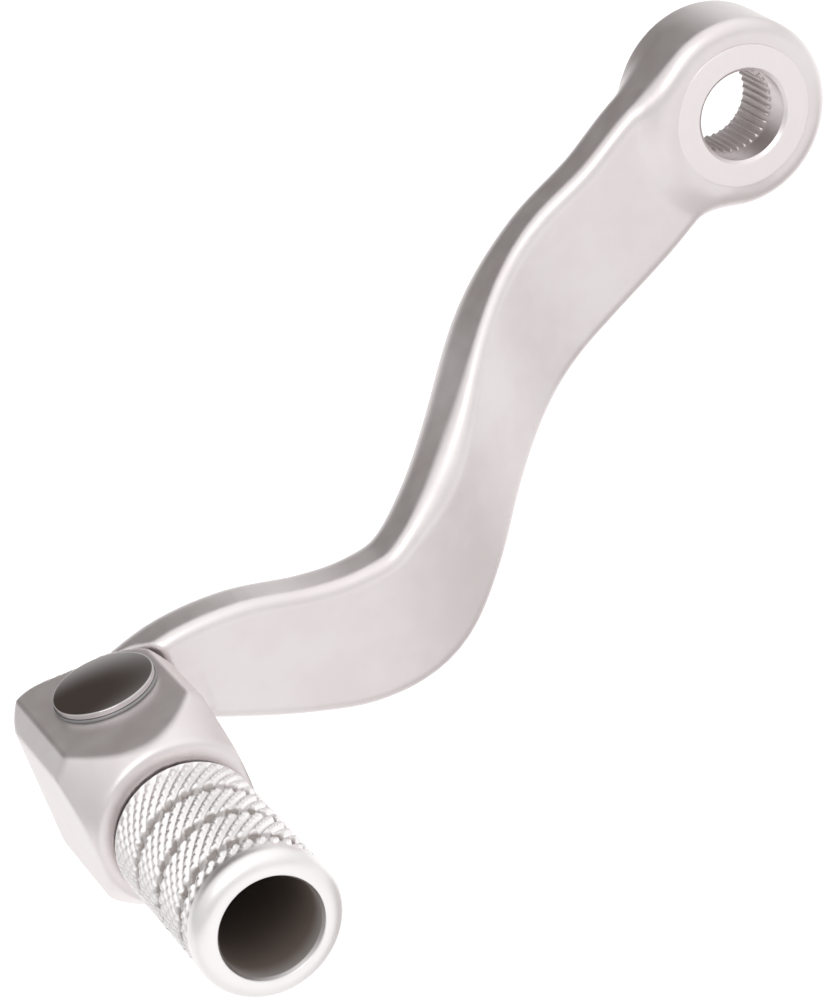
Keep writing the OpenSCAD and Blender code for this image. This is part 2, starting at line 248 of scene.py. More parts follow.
def rounded(
    corners: Sequence[tuple[float, float, float]], parts: int = 4, closed: bool = False
) -> Array:
    """Outline through corners, each replaced by an arc that is tangent to both of its sides.

    Args:
        corners: Two coordinates and the corner's radius, in order.
        parts: Stretches in each arc.
        closed: Whether the last corner joins the first.

    Returns:
        Points along the outline, one row each.
    """
    spots = np.array([c[:2] for c in corners], float)
    out: list[Array] = []
    for i, (_, _, radius) in enumerate(corners):
        end = not closed and i in (0, len(corners) - 1)
        if radius <= 0 or end:
            out.append(spots[i : i + 1])
            continue
        back = spots[i - 1] - spots[i]
        ahead = spots[(i + 1) % len(spots)] - spots[i]
        back, ahead = back / np.linalg.norm(back), ahead / np.linalg.norm(ahead)
        half = math.acos(float(np.clip(back @ ahead, -1, 1))) / 2
        middle = spots[i] + (back + ahead) / np.linalg.norm(back + ahead) * radius / math.sin(half)
        start = spots[i] + back * radius / math.tan(half) - middle
        finish = spots[i] + ahead * radius / math.tan(half) - middle
        sweep = math.atan2(start[0] * finish[1] - start[1] * finish[0], float(start @ finish))
        angle = np.linspace(0, sweep, parts + 1)
        turn = np.stack([np.cos(angle), np.sin(angle)], 1)
        out.append(middle + turn[:, :1] * start + turn[:, 1:] * np.array([-start[1], start[0]]))
    return np.concatenate(out)


def spread(outline: Array, gap: float) -> Array:
    """Adds points along an outline so that none are further apart than the gap.

    Args:
        outline: Points, one row each.
        gap: Longest distance between neighbours.

    Returns:
        The outline with its own points kept.
    """
    pieces = [
        np.linspace(a, b, max(1, math.ceil(float(np.linalg.norm(b - a)) / gap)), endpoint=False)
        for a, b in zip(outline[:-1], outline[1:])
    ]
    return np.concatenate([*pieces, outline[-1:]])


def grid_quads(rows: int, columns: int, loop: bool) -> Array:
    """Quads of a grid in which each row closes into a ring.

    Args:
        rows: Number of rows.
        columns: Points in each row.
        loop: Whether the last row joins the first.

    Returns:
        Quads of vertex numbers.
    """
    i, j = np.meshgrid(np.arange(rows if loop else rows - 1), np.arange(columns), indexing="ij")
    below, beside = (i + 1) % rows, (j + 1) % columns
    around = (i * columns + j, i * columns + beside, below * columns + beside, below * columns + j)
    return np.stack(around, -1).reshape(-1, 4)


def caps(rows: int, columns: int) -> Array:
    """Triangles from the two end rings of a grid to its two poles, which are the last two vertices.

    Args:
        rows: Number of rows.
        columns: Points in each row.

    Returns:
        Triangles of vertex numbers.
    """
    j = np.arange(columns)
    beside = (j + 1) % columns
    last = (rows - 1) * columns
    first_pole = np.full(columns, rows * columns)
    near = np.stack([first_pole, beside, j], 1)
    far = np.stack([first_pole + 1, last + j, last + beside], 1)
    return np.concatenate([near, far])


def make_piece(
    name: str, points: Array, quads: Array, triangles: Array | None = None
) -> bpy.types.Object:
    """Mesh object at the origin from points in millimetres, with its faces turned outwards.

    The faces are turned over where the volume they enclose, a sixth of the sum of each triangle's
    triple product, comes out negative.

    Args:
        name: Name of the piece.
        points: Vertex positions, one row each.
        quads: Quads of vertex numbers.
        triangles: Triangles of vertex numbers, if there are any.

    Returns:
        The new object, shaded smooth.
    """
    faces = [quads] if triangles is None else [quads, triangles]
    fans = [points[f[:, [0, k, k + 1]]] for f in faces for k in range(1, f.shape[1] - 1)]
    if sum(float(np.einsum("ij,ij->", t[:, 0], np.cross(t[:, 1], t[:, 2]))) for t in fans) < 0:
        faces = [f[:, ::-1] for f in faces]
    loops = np.concatenate([f.ravel() for f in faces]).astype(np.int32)
    sizes = np.concatenate([np.full(len(f), f.shape[1]) for f in faces])
    starts = np.concatenate([[0], np.cumsum(sizes)[:-1]]).astype(np.int32)
    mesh = bpy.data.meshes.new(name)
    mesh.vertices.add(len(points))
    mesh.vertices.foreach_set("co", (points * MM).astype(np.float32).ravel())
    mesh.loops.add(len(loops))
    mesh.loops.foreach_set("vertex_index", loops)
    mesh.polygons.add(len(starts))
    mesh.polygons.foreach_set("loop_start", starts)
    mesh.update(calc_edges=True)
    mesh.validate()
    mesh.polygons.foreach_set("use_smooth", np.ones(len(mesh.polygons), bool))
    piece = bpy.data.objects.new(name, mesh)
    bpy.context.scene.collection.objects.link(piece)
    log.info("%s: %d vertices, %d faces", name, len(points), len(starts))
    return piece


def mark(piece: bpy.types.Object, name: str, values: Array) -> None:
    """Stores one number per vertex on a piece, for its material to read.

    Args:
        piece: The mesh object.
        name: Name of the attribute.
        values: One value per vertex.
    """
    attribute = piece.data.attributes.new(name, "FLOAT", "POINT")
    attribute.data.foreach_set("value", values.astype(np.float32))


class Axis(Enum):
    """Direction that a turned piece's axis runs in."""

    Y = "y"
    Z = "z"


@dataclass
class Turned:
    """Surface of revolution: a profile of radius and height carried round an axis."""

    name: str
    profile: Array
    centre: Sequence[float]
    axis: Axis
    columns: int = 128

    def points(self, radius: Array | None = None) -> Array:
        """Positions of the grid, row by row: radius times cosine and sine, and the height.

        Args:
            radius: Radius over the whole grid where it isn't the profile's own.

        Returns:
            Vertex positions, one row each.
        """
        angle = np.linspace(0, 2 * math.pi, self.columns, endpoint=False)
        reach = np.repeat(self.profile[:, :1], self.columns, 1) if radius is None else radius
        height = np.repeat(self.profile[:, 1:], self.columns, 1)
        across, up = reach * np.cos(angle), reach * np.sin(angle)
        if self.axis is Axis.Y:
            grid = np.stack([up, height, across], -1)
        else:
            grid = np.stack([across, up, height], -1)
        return grid.reshape(-1, 3) + np.array(self.centre)

    def ring(self, radius: Array | None = None) -> bpy.types.Object:
        """Closed ring: the profile's last point joins its first.

        Args:
            radius: Radius over the whole grid where it isn't the profile's own.

        Returns:
            The new piece.
        """
        quads = grid_quads(len(self.profile), self.columns, True)
        return make_piece(self.name, self.points(radius), quads)

    def solid(self, radius: Array | None = None) -> bpy.types.Object:
        """Closed solid: both ends of the profile are drawn in to a pole on the axis.

        Args:
            radius: Radius over the whole grid where it isn't the profile's own.

        Returns:
            The new piece.
        """
        rows = len(self.profile)
        poles = np.array(self.centre) + np.zeros((2, 3))
        poles[:, 1 if self.axis is Axis.Y else 2] += self.profile[[0, -1], 1]
        points = np.concatenate([self.points(radius), poles])
        quads = grid_quads(rows, self.columns, False)
        return make_piece(self.name, points, quads, caps(rows, self.columns))


# ---------------------------------------------------------------------------------------------
# Shaders
# ---------------------------------------------------------------------------------------------


class Socket:
    """Output of a shader node. Arithmetic on it adds the Math nodes that work it out."""

    def __init__(self, shader: Shader, output: bpy.types.NodeSocket) -> None:
        """Wraps one output of a node in the shader."""
        self.shader = shader
        self.output = output

    def _math(self, operation: str, a: Value, b: Value) -> Socket:
        """Adds a Math node for one operation on two values."""
        return self.shader.node("ShaderNodeMath", {"operation": operation}, {0: a, 1: b})

    def __add__(self, other: Value) -> Socket:
        """Sum."""
        return self._math("ADD", self, other)

    def __sub__(self, other: Value) -> Socket:
        """Difference."""
        return self._math("SUBTRACT", self, other)

    def __rsub__(self, other: Value) -> Socket:
        """Difference from a number."""
        return self._math("SUBTRACT", other, self)

    def __mul__(self, other: Value) -> Socket:
        """Product."""
        return self._math("MULTIPLY", self, other)

    def __truediv__(self, other: Value) -> Socket:
        """Quotient."""
        return self._math("DIVIDE", self, other)

    def __pow__(self, other: Value) -> Socket:
        """Power."""
        return self._math("POWER", self, other)

    def at_least(self, other: Value) -> Socket:
        """The greater of this and another value."""
        return self._math("MAXIMUM", self, other)

    __radd__ = __add__
    __rmul__ = __mul__


Value = Socket | float | Sequence[float]


class Shader:
    """Node tree of one material, or of the world."""

    def __init__(self, tree: bpy.types.NodeTree) -> None:
        """Takes an empty node tree."""
        self.tree = tree
        tree.nodes.clear()

    def node(
        self,
        kind: str,
        settings: dict[str, object] | None = None,
        inputs: dict[str | int, Value] | None = None,
        output: str | int = 0,
    ) -> Socket:
        """Adds any node.

        Args:
            kind: Blender's name of the node type.
            settings: Properties, set before the sockets.
            inputs: Values or links of its sockets, by name or number.
            output: Which output is returned.

        Returns:
            That output.
        """
        made = self.tree.nodes.new(kind)
        for key, value in (settings or {}).items():
            setattr(made, key, value)
        for key, value in (inputs or {}).items():
            if isinstance(value, Socket):
                self.tree.links.new(value.output, made.inputs[key])
            else:
                made.inputs[key].default_value = value
        return Socket(self, made.outputs[output]) if len(made.outputs) else Socket(self, None)

    def mix(self, share: Value, first: Value, second: Value) -> Socket:
        """Blend of two colours.

        Args:
            share: Share of the second colour.
            first: Colour at share 0.
            second: Colour at share 1.

        Returns:
            The blended colour.
        """
        return self.node("ShaderNodeMix", {"data_type": "RGBA"}, {0: share, 6: first, 7: second}, 2)

    def place(self) -> Socket:
        """Object coordinates, in metres."""
        return self.node("ShaderNodeTexCoord", output="Object")

    def parts(self, vector: Socket) -> tuple[Socket, ...]:
        """The three coordinates of a vector."""
        split = self.node("ShaderNodeSeparateXYZ", None, {0: vector})
        return tuple(Socket(self, end) for end in split.output.node.outputs)

    def noise(self, place: Value, size_mm: float, detail: float = 2.0) -> Socket:
        """Cloudy noise between 0 and 1.

        Args:
            place: Where it is read.
            size_mm: Size of its features.
            detail: Octaves of finer noise.

        Returns:
            The noise's value.
        """
        inputs = {"Vector": place, "Scale": 1 / (size_mm * MM), "Detail": detail}
        return self.node("ShaderNodeTexNoise", None, inputs)

    def clamp(self, value: Value, low: float, high: float) -> Socket:
        """Value spread from 0 at low to 1 at high, and held there.

        Args:
            value: The value.
            low: Value that becomes 0.
            high: Value that becomes 1.

        Returns:
            A number from 0 to 1.
        """
        inputs = {0: value, 1: low, 2: high, 3: 0.0, 4: 1.0}
        return self.node("ShaderNodeMapRange", {"interpolation_type": "SMOOTHSTEP"}, inputs)

    def bump(self, height: Value, depth_mm: float) -> Socket:
        """Normal of a surface that stands up by the height.

        Args:
            height: Height from 0 to 1.
            depth_mm: Real depth of that height.

        Returns:
            The bumped normal.
        """
        inputs = {"Strength": 1.0, "Distance": depth_mm * MM, "Height": height}
        return self.node("ShaderNodeBump", None, inputs)


def new_material(name: str) -> tuple[bpy.types.Material, Shader]:
    """Empty material with its shader.

    Args:
        name: Name of the material.

    Returns:
        The material and the shader that fills its nodes.
    """
    material = bpy.data.materials.new(name)
    material.use_nodes = True
    return material, Shader(material.node_tree)


def surface(shader: Shader, inputs: dict[str | int, Value]) -> None:
    """Ends a shader with a Principled surface.

    Args:
        shader: The shader.
        inputs: Sockets of the Principled node.
    """
    principled = shader.node("ShaderNodeBsdfPrincipled", None, inputs)
    shader.node("ShaderNodeOutputMaterial", None, {"Surface": principled})


def grey(value: float, warmth: float = 0.0) -> tuple[float, float, float, float]:
    """Grey colour, with more red and less green and blue where warmth is above 0."""
    green, blue = 1 - warmth * LESS_GREEN, 1 - warmth * LESS_BLUE
    return (value * (1 + warmth), value * green, value * blue, 1.0)


@dataclass(frozen=True)
class BlastedForging:
    """Forged aluminium after fine bead blasting: pale, satin, with a fine grain."""

    name: str = "blasted_forging"
    tone: float = 0.79
    warmth: float = 0.045
    roughness: float = 0.40
    grain_mm: float = 0.28
    grain_depth_mm: float = 0.012
    grain_rough: float = 0.10
    smear_mm: float = 3.5
    smear_rough: float = 0.08
    cloud_mm: float = 14.0
    cloud_share: float = 0.7
    darker: float = 0.95

    def build(self) -> bpy.types.Material:
        """Cloudy tone, a fine grain in the bump, and roughness from the grain and from smears.

        Returns:
            The material.
        """
        material, shader = new_material(self.name)
        place = shader.place()
        fine = shader.noise(place, self.grain_mm, 3.0)
        cloud = shader.noise(place, self.cloud_mm, 3.0)
        smear = shader.noise(place, self.smear_mm, 4.0)
        tone = shader.clamp(cloud * self.cloud_share + smear * (1 - self.cloud_share), 0.35, 0.65)
        dim, full = grey(self.tone * self.darker, self.warmth), grey(self.tone, self.warmth * 0.8)
        least = self.roughness - (self.grain_rough + self.smear_rough) / 2
        inputs = {
            "Base Color": shader.mix(tone, dim, full),
            "Metallic": 1.0,
            "Roughness": fine * self.grain_rough + smear * self.smear_rough + least,
            "Normal": shader.bump(fine, self.grain_depth_mm),
        }
        surface(shader, inputs)
        return material


@dataclass(frozen=True)
class TurnedAluminium:
    """Bright machined aluminium with fine turning rings about an axis along Y."""

    name: str
    axis_x_mm: float
    axis_z_mm: float
    tone: float = 0.92
    warmth: float = 0.02
    roughness: float = 0.36
    ring_mm: float = 0.22
    ring_depth_mm: float = 0.004
    ring_rough: float = 0.10
    smear_mm: float = 2.5
    smear_rough: float = 0.08
    darker: float = 0.94
    # Painted shade for hollows and pits: its dark brown tone, and how much rougher and less metallic the
    # metal gets there.
    dark: float = 0.16
    dark_rough: float = 0.3
    dark_dull: float = 0.95

    def build(self) -> bpy.types.Material:
        """Rings from noise read at the distance from the axis and along it.

        Where the piece's attribute of painted shade rises, the colour turns to that painted shade, a
        dark brown, and the metal rougher and less metallic.

        Returns:
            The material.
        """
        material, shader = new_material(self.name)
        place = shader.place()
        x, y, z = shader.parts(place)
        across, up = x - self.axis_x_mm * MM, z - self.axis_z_mm * MM
        distance = (across * across + up * up) ** 0.5
        read = shader.node("ShaderNodeCombineXYZ", None, {0: distance, 1: y, 2: 0.0})
        rings = shader.noise(read, self.ring_mm, 2.0)
        smear = shader.noise(place, self.smear_mm, 4.0)
        hollow = shader.node("ShaderNodeAttribute", {"attribute_name": "hollow"}, None, "Fac")
        dim, full = grey(self.tone * self.darker, self.warmth), grey(self.tone, self.warmth)
        metal = shader.mix(smear, dim, full)
        # Painted shade: the dark brown colour that the shade attribute blends in.
        painted_shade_brown = (self.dark * 1.25, self.dark, self.dark * 0.86, 1.0)
        rough = rings * self.ring_rough + smear * self.smear_rough + hollow * self.dark_rough
        inputs = {
            "Base Color": shader.mix(hollow, metal, painted_shade_brown),
            "Metallic": 1.0 - hollow * self.dark_dull,
            "Roughness": rough + (self.roughness - (self.ring_rough + self.smear_rough) / 2),
            "Normal": shader.bump(rings, self.ring_depth_mm),
        }
        surface(shader, inputs)
        return material


@dataclass(frozen=True)
class Steel:
    """Steel of any finish, from mirror polish to plain wire: a tone, a roughness and light scratches."""

    name: str
    tone: float
    roughness: float
    scratch_mm: float = 0.6
    scratch_depth_mm: float = 0.0006
    stretch: float = 0.12
    cloud_mm: float = 4.0
    darker: float = 0.92
    warmth: float = 0.0

    def build(self) -> bpy.types.Material:
        """Scratches from noise stretched along X, and a cloudy polish.

        Returns:
            The material.
        """
        material, shader = new_material(self.name)
        place = shader.place()
        long = shader.node("ShaderNodeMapping", None, {0: place, 3: (self.stretch, 1.0, 1.0)})
        scratch = shader.noise(long, self.scratch_mm, 5.0)
        cloud = shader.noise(place, self.cloud_mm, 3.0)
        dim, full = grey(self.tone * self.darker, self.warmth), grey(self.tone, self.warmth)
        scratched, clouded = self.roughness * 0.5, self.roughness * 0.3
        inputs = {
            "Base Color": shader.mix(cloud, dim, full),
            "Metallic": 1.0,
            "Roughness": scratch * scratched + cloud * clouded + self.roughness * 0.6,
            "Normal": shader.bump(scratch, self.scratch_depth_mm),
        }
        surface(shader, inputs)
        return material


@dataclass(frozen=True)
class Plain:
    """Solid material of two close tones: the thrust washers' plastic and the bush's bronze."""

    name: str
    low: tuple[float, float, float, float]
    high: tuple[float, float, float, float]
    roughness: float
    metallic: float = 0.0
    grain_mm: float = 0.4
    grain_rough: float = 0.15
    depth_mm: float = 0.01

    def build(self) -> bpy.types.Material:
        """Two tones mixed by noise, with the same noise as a fine bump.

        Returns:
            The material.
        """
        material, shader = new_material(self.name)
        grain = shader.noise(shader.place(), self.grain_mm, 4.0)
        inputs = {
            "Base Color": shader.mix(grain, self.low, self.high),
            "Metallic": self.metallic,
            "Roughness": grain * self.grain_rough + self.roughness,
            "Normal": shader.bump(grain, self.depth_mm),
        }
        surface(shader, inputs)
        return material


def dress(piece: bpy.types.Object, material: bpy.types.Material) -> bpy.types.Object:
    """Gives a piece or a CAD node one material.

    Args:
        piece: The mesh object.
        material: Its finish.

    Returns:
        The same object.
    """
    piece.data.materials.clear()
    piece.data.materials.append(material)
    return piece


# ---------------------------------------------------------------------------------------------
# Places taken from the frame
# ---------------------------------------------------------------------------------------------


def node_box(node: str) -> tuple[Array, Array]:
    """Lowest and highest corner of a CAD node, in millimetres."""
    low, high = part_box(node)
    return np.array(low) / MM, np.array(high) / MM


@dataclass(frozen=True)
class Places:
    """Where things are, in millimetres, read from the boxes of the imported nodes."""

    pivot_x: float
    pivot_y: float
    tongue_low: float
    tongue_high: float
    slot_low: float
    slot_high: float
    peg_x: float
    peg_z: float
    peg_end: float
    nose_y: float
    far_x: float
    near_x: float
    heel_y: float
    base_z: float
    top_z: float
    hub_r: float
    seat_y: float
    nut_low: float
    nut_high: float

    @staticmethod
    def read() -> Places:
        """Works the places out from the CAD boxes.

        Returns:
            The places.
        """
        _, arm_high = node_box("lever_arm")
        pin_low, pin_high = node_box("pivot_pin")
        bush_low, bush_high = node_box("pivot_bush")
        block_low, block_high = node_box("tip_knuckle")
        peg_low, peg_high = node_box("toe_peg")
        upper_low, upper_high = node_box("upper_thrust_washer")
        lower_low, _ = node_box("lower_thrust_washer")
        nut_low, nut_high = node_box("lock_nut")
        gap = upper_low[2] - bush_high[2]
        return Places(
            pivot_x=(pin_low[0] + pin_high[0]) / 2,
            pivot_y=(pin_low[1] + pin_high[1]) / 2,
            tongue_low=bush_low[2],
            tongue_high=bush_high[2],
            slot_low=lower_low[2] - gap,
            slot_high=upper_high[2] + gap,
            peg_x=(peg_low[0] + peg_high[0]) / 2,
            peg_z=(peg_low[2] + peg_high[2]) / 2,
            peg_end=peg_low[1],
            nose_y=block_low[1],
            far_x=block_low[0],
            near_x=block_high[0],
            heel_y=block_high[1],
            base_z=block_low[2],
            top_z=block_high[2],
            hub_r=arm_high[0],
            seat_y=arm_high[1],
            nut_low=nut_low[2],
            nut_high=nut_high[2],
        )


# ---------------------------------------------------------------------------------------------
# The lever arm
# ---------------------------------------------------------------------------------------------


@dataclass
class LeverArm:
    """One forging: the ring hub, the cranked bar, and the tongue that the tip turns on."""

    at: Places
    depth: float = 20.3
    thick_hub: float = 9.0
    thick_tip: float = 9.5
    thick_neck: float = 13.8
    boss_rise: float = 1.6
    inset: float = 3.8
    bar_end: float = 4.5
    jog_start: float = 0.23
    jog_end: float = 0.70
    eye_r: float = 8.2
    swing_r: float = 10.1
    bush_r: float = 4.95
    pocket_r: float = 6.65
    pocket_depth: float = 4.75
    fold_deg: float = 40.0
    stop_deg: float = 121.4
    lug_r: float = 10.1
    register_step: float = 0.3
    liner_r: float = 9.2
    outboard_round: float = 1.6
    inboard_round: float = 1.8
    top_extra: float = 0.3
    neck_extra: float = 2.0
    neck_at: float = 0.51
    neck_wide: float = 0.07
    top_back_round: float = 3.0
    top_back_extra: float = 1.3
    top_back_from: float = 0.12
    top_back_over: float = 0.2
    foot_to_top: float = 12.0
    hub_front_round: float = 2.4
    hub_back_round: float = 1.0
    hub_fillet: float = 2.7
    tongue_fillet: float = 0.4
    tongue_edge: float = 0.25
    swing_edge: float = 0.5
    fold_edge: float = 0.3
    sharp: float = 0.1
    step: float = 0.5

    # Stations from hub to tip: shares of the length, of the drop and of the depth.
    STATIONS = (
        (0.00, 0.00, 1.00),
        (0.08, 0.04, 1.00),
        (0.17, 0.215, 0.99),
        (0.26, 0.36, 1.01),
        (0.36, 0.56, 0.955),
        (0.46, 0.82, 0.85),
        (0.54, 1.04, 0.91),
        (0.61, 1.19, 0.97),
        (0.68, 1.20, 0.98),
        (0.75, 1.12, 0.91),
        (0.83, 0.985, 0.83),
        (0.90, 0.905, 0.66),
        (0.97, 0.90, 0.46),
    )
    PARTS = 6

    def spine(self) -> tuple[Array, Array]:
        """Smooth line down the middle of the bar in the side view, and the bar's depth along it.

        The line is a Catmull-Rom curve through the stations: a cubic between each two, whose slope at a
        station is half the step between its neighbours.

        Returns:
            Points (x, z) and depths, in millimetres.
        """
        knots = np.array(self.STATIONS)
        padded = np.concatenate([knots[:1], knots, knots[-1:]])
        a, b, c, d = (padded[k : k + len(knots) - 1, None, :] for k in range(4))
        t = (np.arange(self.PARTS) / self.PARTS)[None, :, None]
        square, cube = 2 * a - 5 * b + 4 * c - d, 3 * b - a - 3 * c + d
        curve = 0.5 * (2 * b + (c - a) * t + square * t**2 + cube * t**3)
        line = np.concatenate([curve.reshape(-1, 3), knots[-1:]])
        drop = -(self.at.tongue_low + self.at.tongue_high) / 2
        return line[:, :2] * np.array([self.at.peg_x, -drop]), line[:, 2] * self.depth

    def side_outline(self) -> Array:
        """Side view of the bar: half its depth to either side of the spine, square to it.

        Returns:
            Closed outline of points (x, z), in millimetres.
        """
        line, depth = self.spine()
        along = np.gradient(line, axis=0)
        along[0], along[-1] = line[1] - line[0], line[-1] - line[-2]
        across = np.stack([along[:, 1], -along[:, 0]], 1) / np.linalg.norm(along, axis=1)[:, None]
        reach = across * depth[:, None] / 2
        return np.concatenate([line + reach, (line - reach)[::-1]])

    def jog(self, x: Array) -> Array:
        """Share of the sideways move at x: 0 at the hub, 1 at the tip, by a smooth quintic step."""
        s = np.clip((x / self.at.peg_x - self.jog_start) / (self.jog_end - self.jog_start), 0, 1)
        return s**3 * (s * (6 * s - 15) + 10)

    def mid_y(self, x: Array) -> Array:
        """Middle of the bar's thickness: it moves outboard with the jog.

        Args:
            x: Places along X, in millimetres.

        Returns:
            Places along Y, in millimetres.
        """
        hub = -self.at.seat_y + self.boss_rise + self.thick_hub / 2
        tip = self.at.pivot_y + self.inset + self.thick_tip / 2
        return hub + (tip - hub) * self.jog(x)

    def half_thickness(self, x: Array) -> Array:
        """Half of the bar's thickness: it swells where the bar swings outboard.

        Args:
            x: Places along X, in millimetres.

        Returns:
            Half thicknesses, in millimetres.
        """
        share = self.jog(x)
        swell = 4 * (self.thick_neck - (self.thick_hub + self.thick_tip) / 2) * share * (1 - share)
        return (self.thick_hub + (self.thick_tip - self.thick_hub) * share + swell) / 2

    def bar(self, x: Array, y: Array, z: Array) -> Array:
        """Distance to the bar: its side view met with its outboard and its inboard face.

        The height is 0 at the bar's foot and 1 at its top. The top's inboard edge is rounded most away
        from the hub, and its outboard edge melts into the face in the neck, where the bar swings
        outboard. A face's distance is shortened by the cosine of its lean.

        Args:
            x: Places along X, in millimetres.
            y: Places along Y.
            z: Places along Z.

        Returns:
            Signed distances, negative inside.
        """
        line, _ = self.spine()
        middle = np.interp(-x, -line[:, 0], line[:, 1])
        height = np.clip((z - middle) / self.foot_to_top + 0.5, 0, 1)
        share = x / self.at.peg_x
        near = 0.05
        lean = (self.mid_y(x + near) - self.mid_y(x - near)) / (2 * near)
        square = 1 / np.hypot(1, lean)
        neck = np.exp(-(((share - self.neck_at) / self.neck_wide) ** 2))
        side = outline_distance(x, z, self.side_outline())
        outboard = (self.mid_y(x) - self.half_thickness(x) - y) * square
        inboard = (y - self.mid_y(x) - self.half_thickness(x)) * square
        beyond = np.clip((share - self.top_back_from) / self.top_back_over, 0, 1)
        back_round = self.top_back_round + self.top_back_extra * beyond
        front_extra = self.top_extra + self.neck_extra * neck
        solid = meet(side, outboard, self.outboard_round + front_extra * height)
        solid = meet(solid, inboard, self.inboard_round + (back_round - self.inboard_round) * height)
        return np.maximum(solid, self.at.pivot_x + self.bar_end - x)

    def hub(self, x: Array, y: Array, z: Array) -> Array:
        """Distance to the hub: a drum about the shaft's axis, rounded more on its outboard edge.

        Args:
            x: Places along X, in millimetres.
            y: Places along Y.
            z: Places along Z.

        Returns:
            Signed distances, negative inside.
        """
        drum = np.hypot(x, z) - self.at.hub_r
        front = meet(drum, -y - (self.at.seat_y - self.register_step), self.hub_front_round)
        return meet(front, y - self.at.seat_y, self.hub_back_round)

    def tongue(self, x: Array, y: Array, z: Array) -> Array:
        """Distance to the tongue: the eye with its stop lug and neck, as thick as the bush is long.

        Args:
            x: Places along X, in millimetres.
            y: Places along Y.
            z: Places along Z.

        Returns:
            Signed distances, negative inside.
        """
        px, py, back = self.at.pivot_x, self.at.pivot_y, self.inset + self.thick_tip
        stop = math.radians(self.stop_deg)
        neck = self.swing_r + 3
        lug_end = 0.985 * self.lug_r
        outline = np.array(
            [
                (0, 0),
                (self.inset, self.inset),
                (neck, self.inset),
                (neck, back),
                (self.bar_end, back),
                (self.bar_end, back - 1),
                (0, self.lug_r),
                (lug_end * math.cos(stop), lug_end * math.sin(stop)),
            ]
        )
        eye = np.hypot(x - px, y - py) - self.eye_r
        shape = np.minimum(eye, outline_distance(x - px, y - py, outline))
        middle = (self.at.tongue_low + self.at.tongue_high) / 2
        half = (self.at.tongue_high - self.at.tongue_low) / 2
        return meet(shape, np.abs(z - middle) - half, self.tongue_edge)

    def forging(self, x: Array, y: Array, z: Array) -> Array:
        """Distance to the whole forging: bar, hub and tongue, less the block's sweep and the bores.

        Args:
            x: Places along X, in millimetres.
            y: Places along Y.
            z: Places along Z.

        Returns:
            Signed distances, negative inside.
        """
        px, py = x - self.at.pivot_x, y - self.at.pivot_y
        radial = np.hypot(px, py)
        fold = math.radians(self.fold_deg)
        across = px * math.cos(fold) + py * math.sin(fold)
        ahead = -px * math.sin(fold) + py * math.cos(fold)
        bar = self.bar(x, y, z)
        bar = cut(bar, np.maximum(radial - self.swing_r, self.at.tongue_high - z), self.swing_edge)
        bar = cut(bar, np.maximum(radial - self.swing_r, z - self.at.tongue_low), self.swing_edge)
        bar = cut(bar, np.maximum(np.abs(across) - self.swing_r, ahead), self.fold_edge)
        whole = join(bar, self.hub(x, y, z), self.hub_fillet)
        whole = cut(whole, np.hypot(x, z) - self.liner_r, self.sharp)
        whole = join(whole, self.tongue(x, y, z), self.tongue_fillet)
        whole = cut(whole, radial - self.bush_r, self.sharp)
        floor = self.at.tongue_high - self.pocket_depth
        return cut(whole, np.maximum(radial - self.pocket_r, floor - z), self.sharp)

    def build(self, metal: bpy.types.Material) -> bpy.types.Object:
        """Makes the forging's mesh.

        Args:
            metal: Finish of the forging.

        Returns:
            The piece.
        """
        low, high = node_box("lever_arm")
        points, quads = field_surface(self.forging, low, high, self.step)
        return dress(make_piece("lever_forging", points, quads), metal)


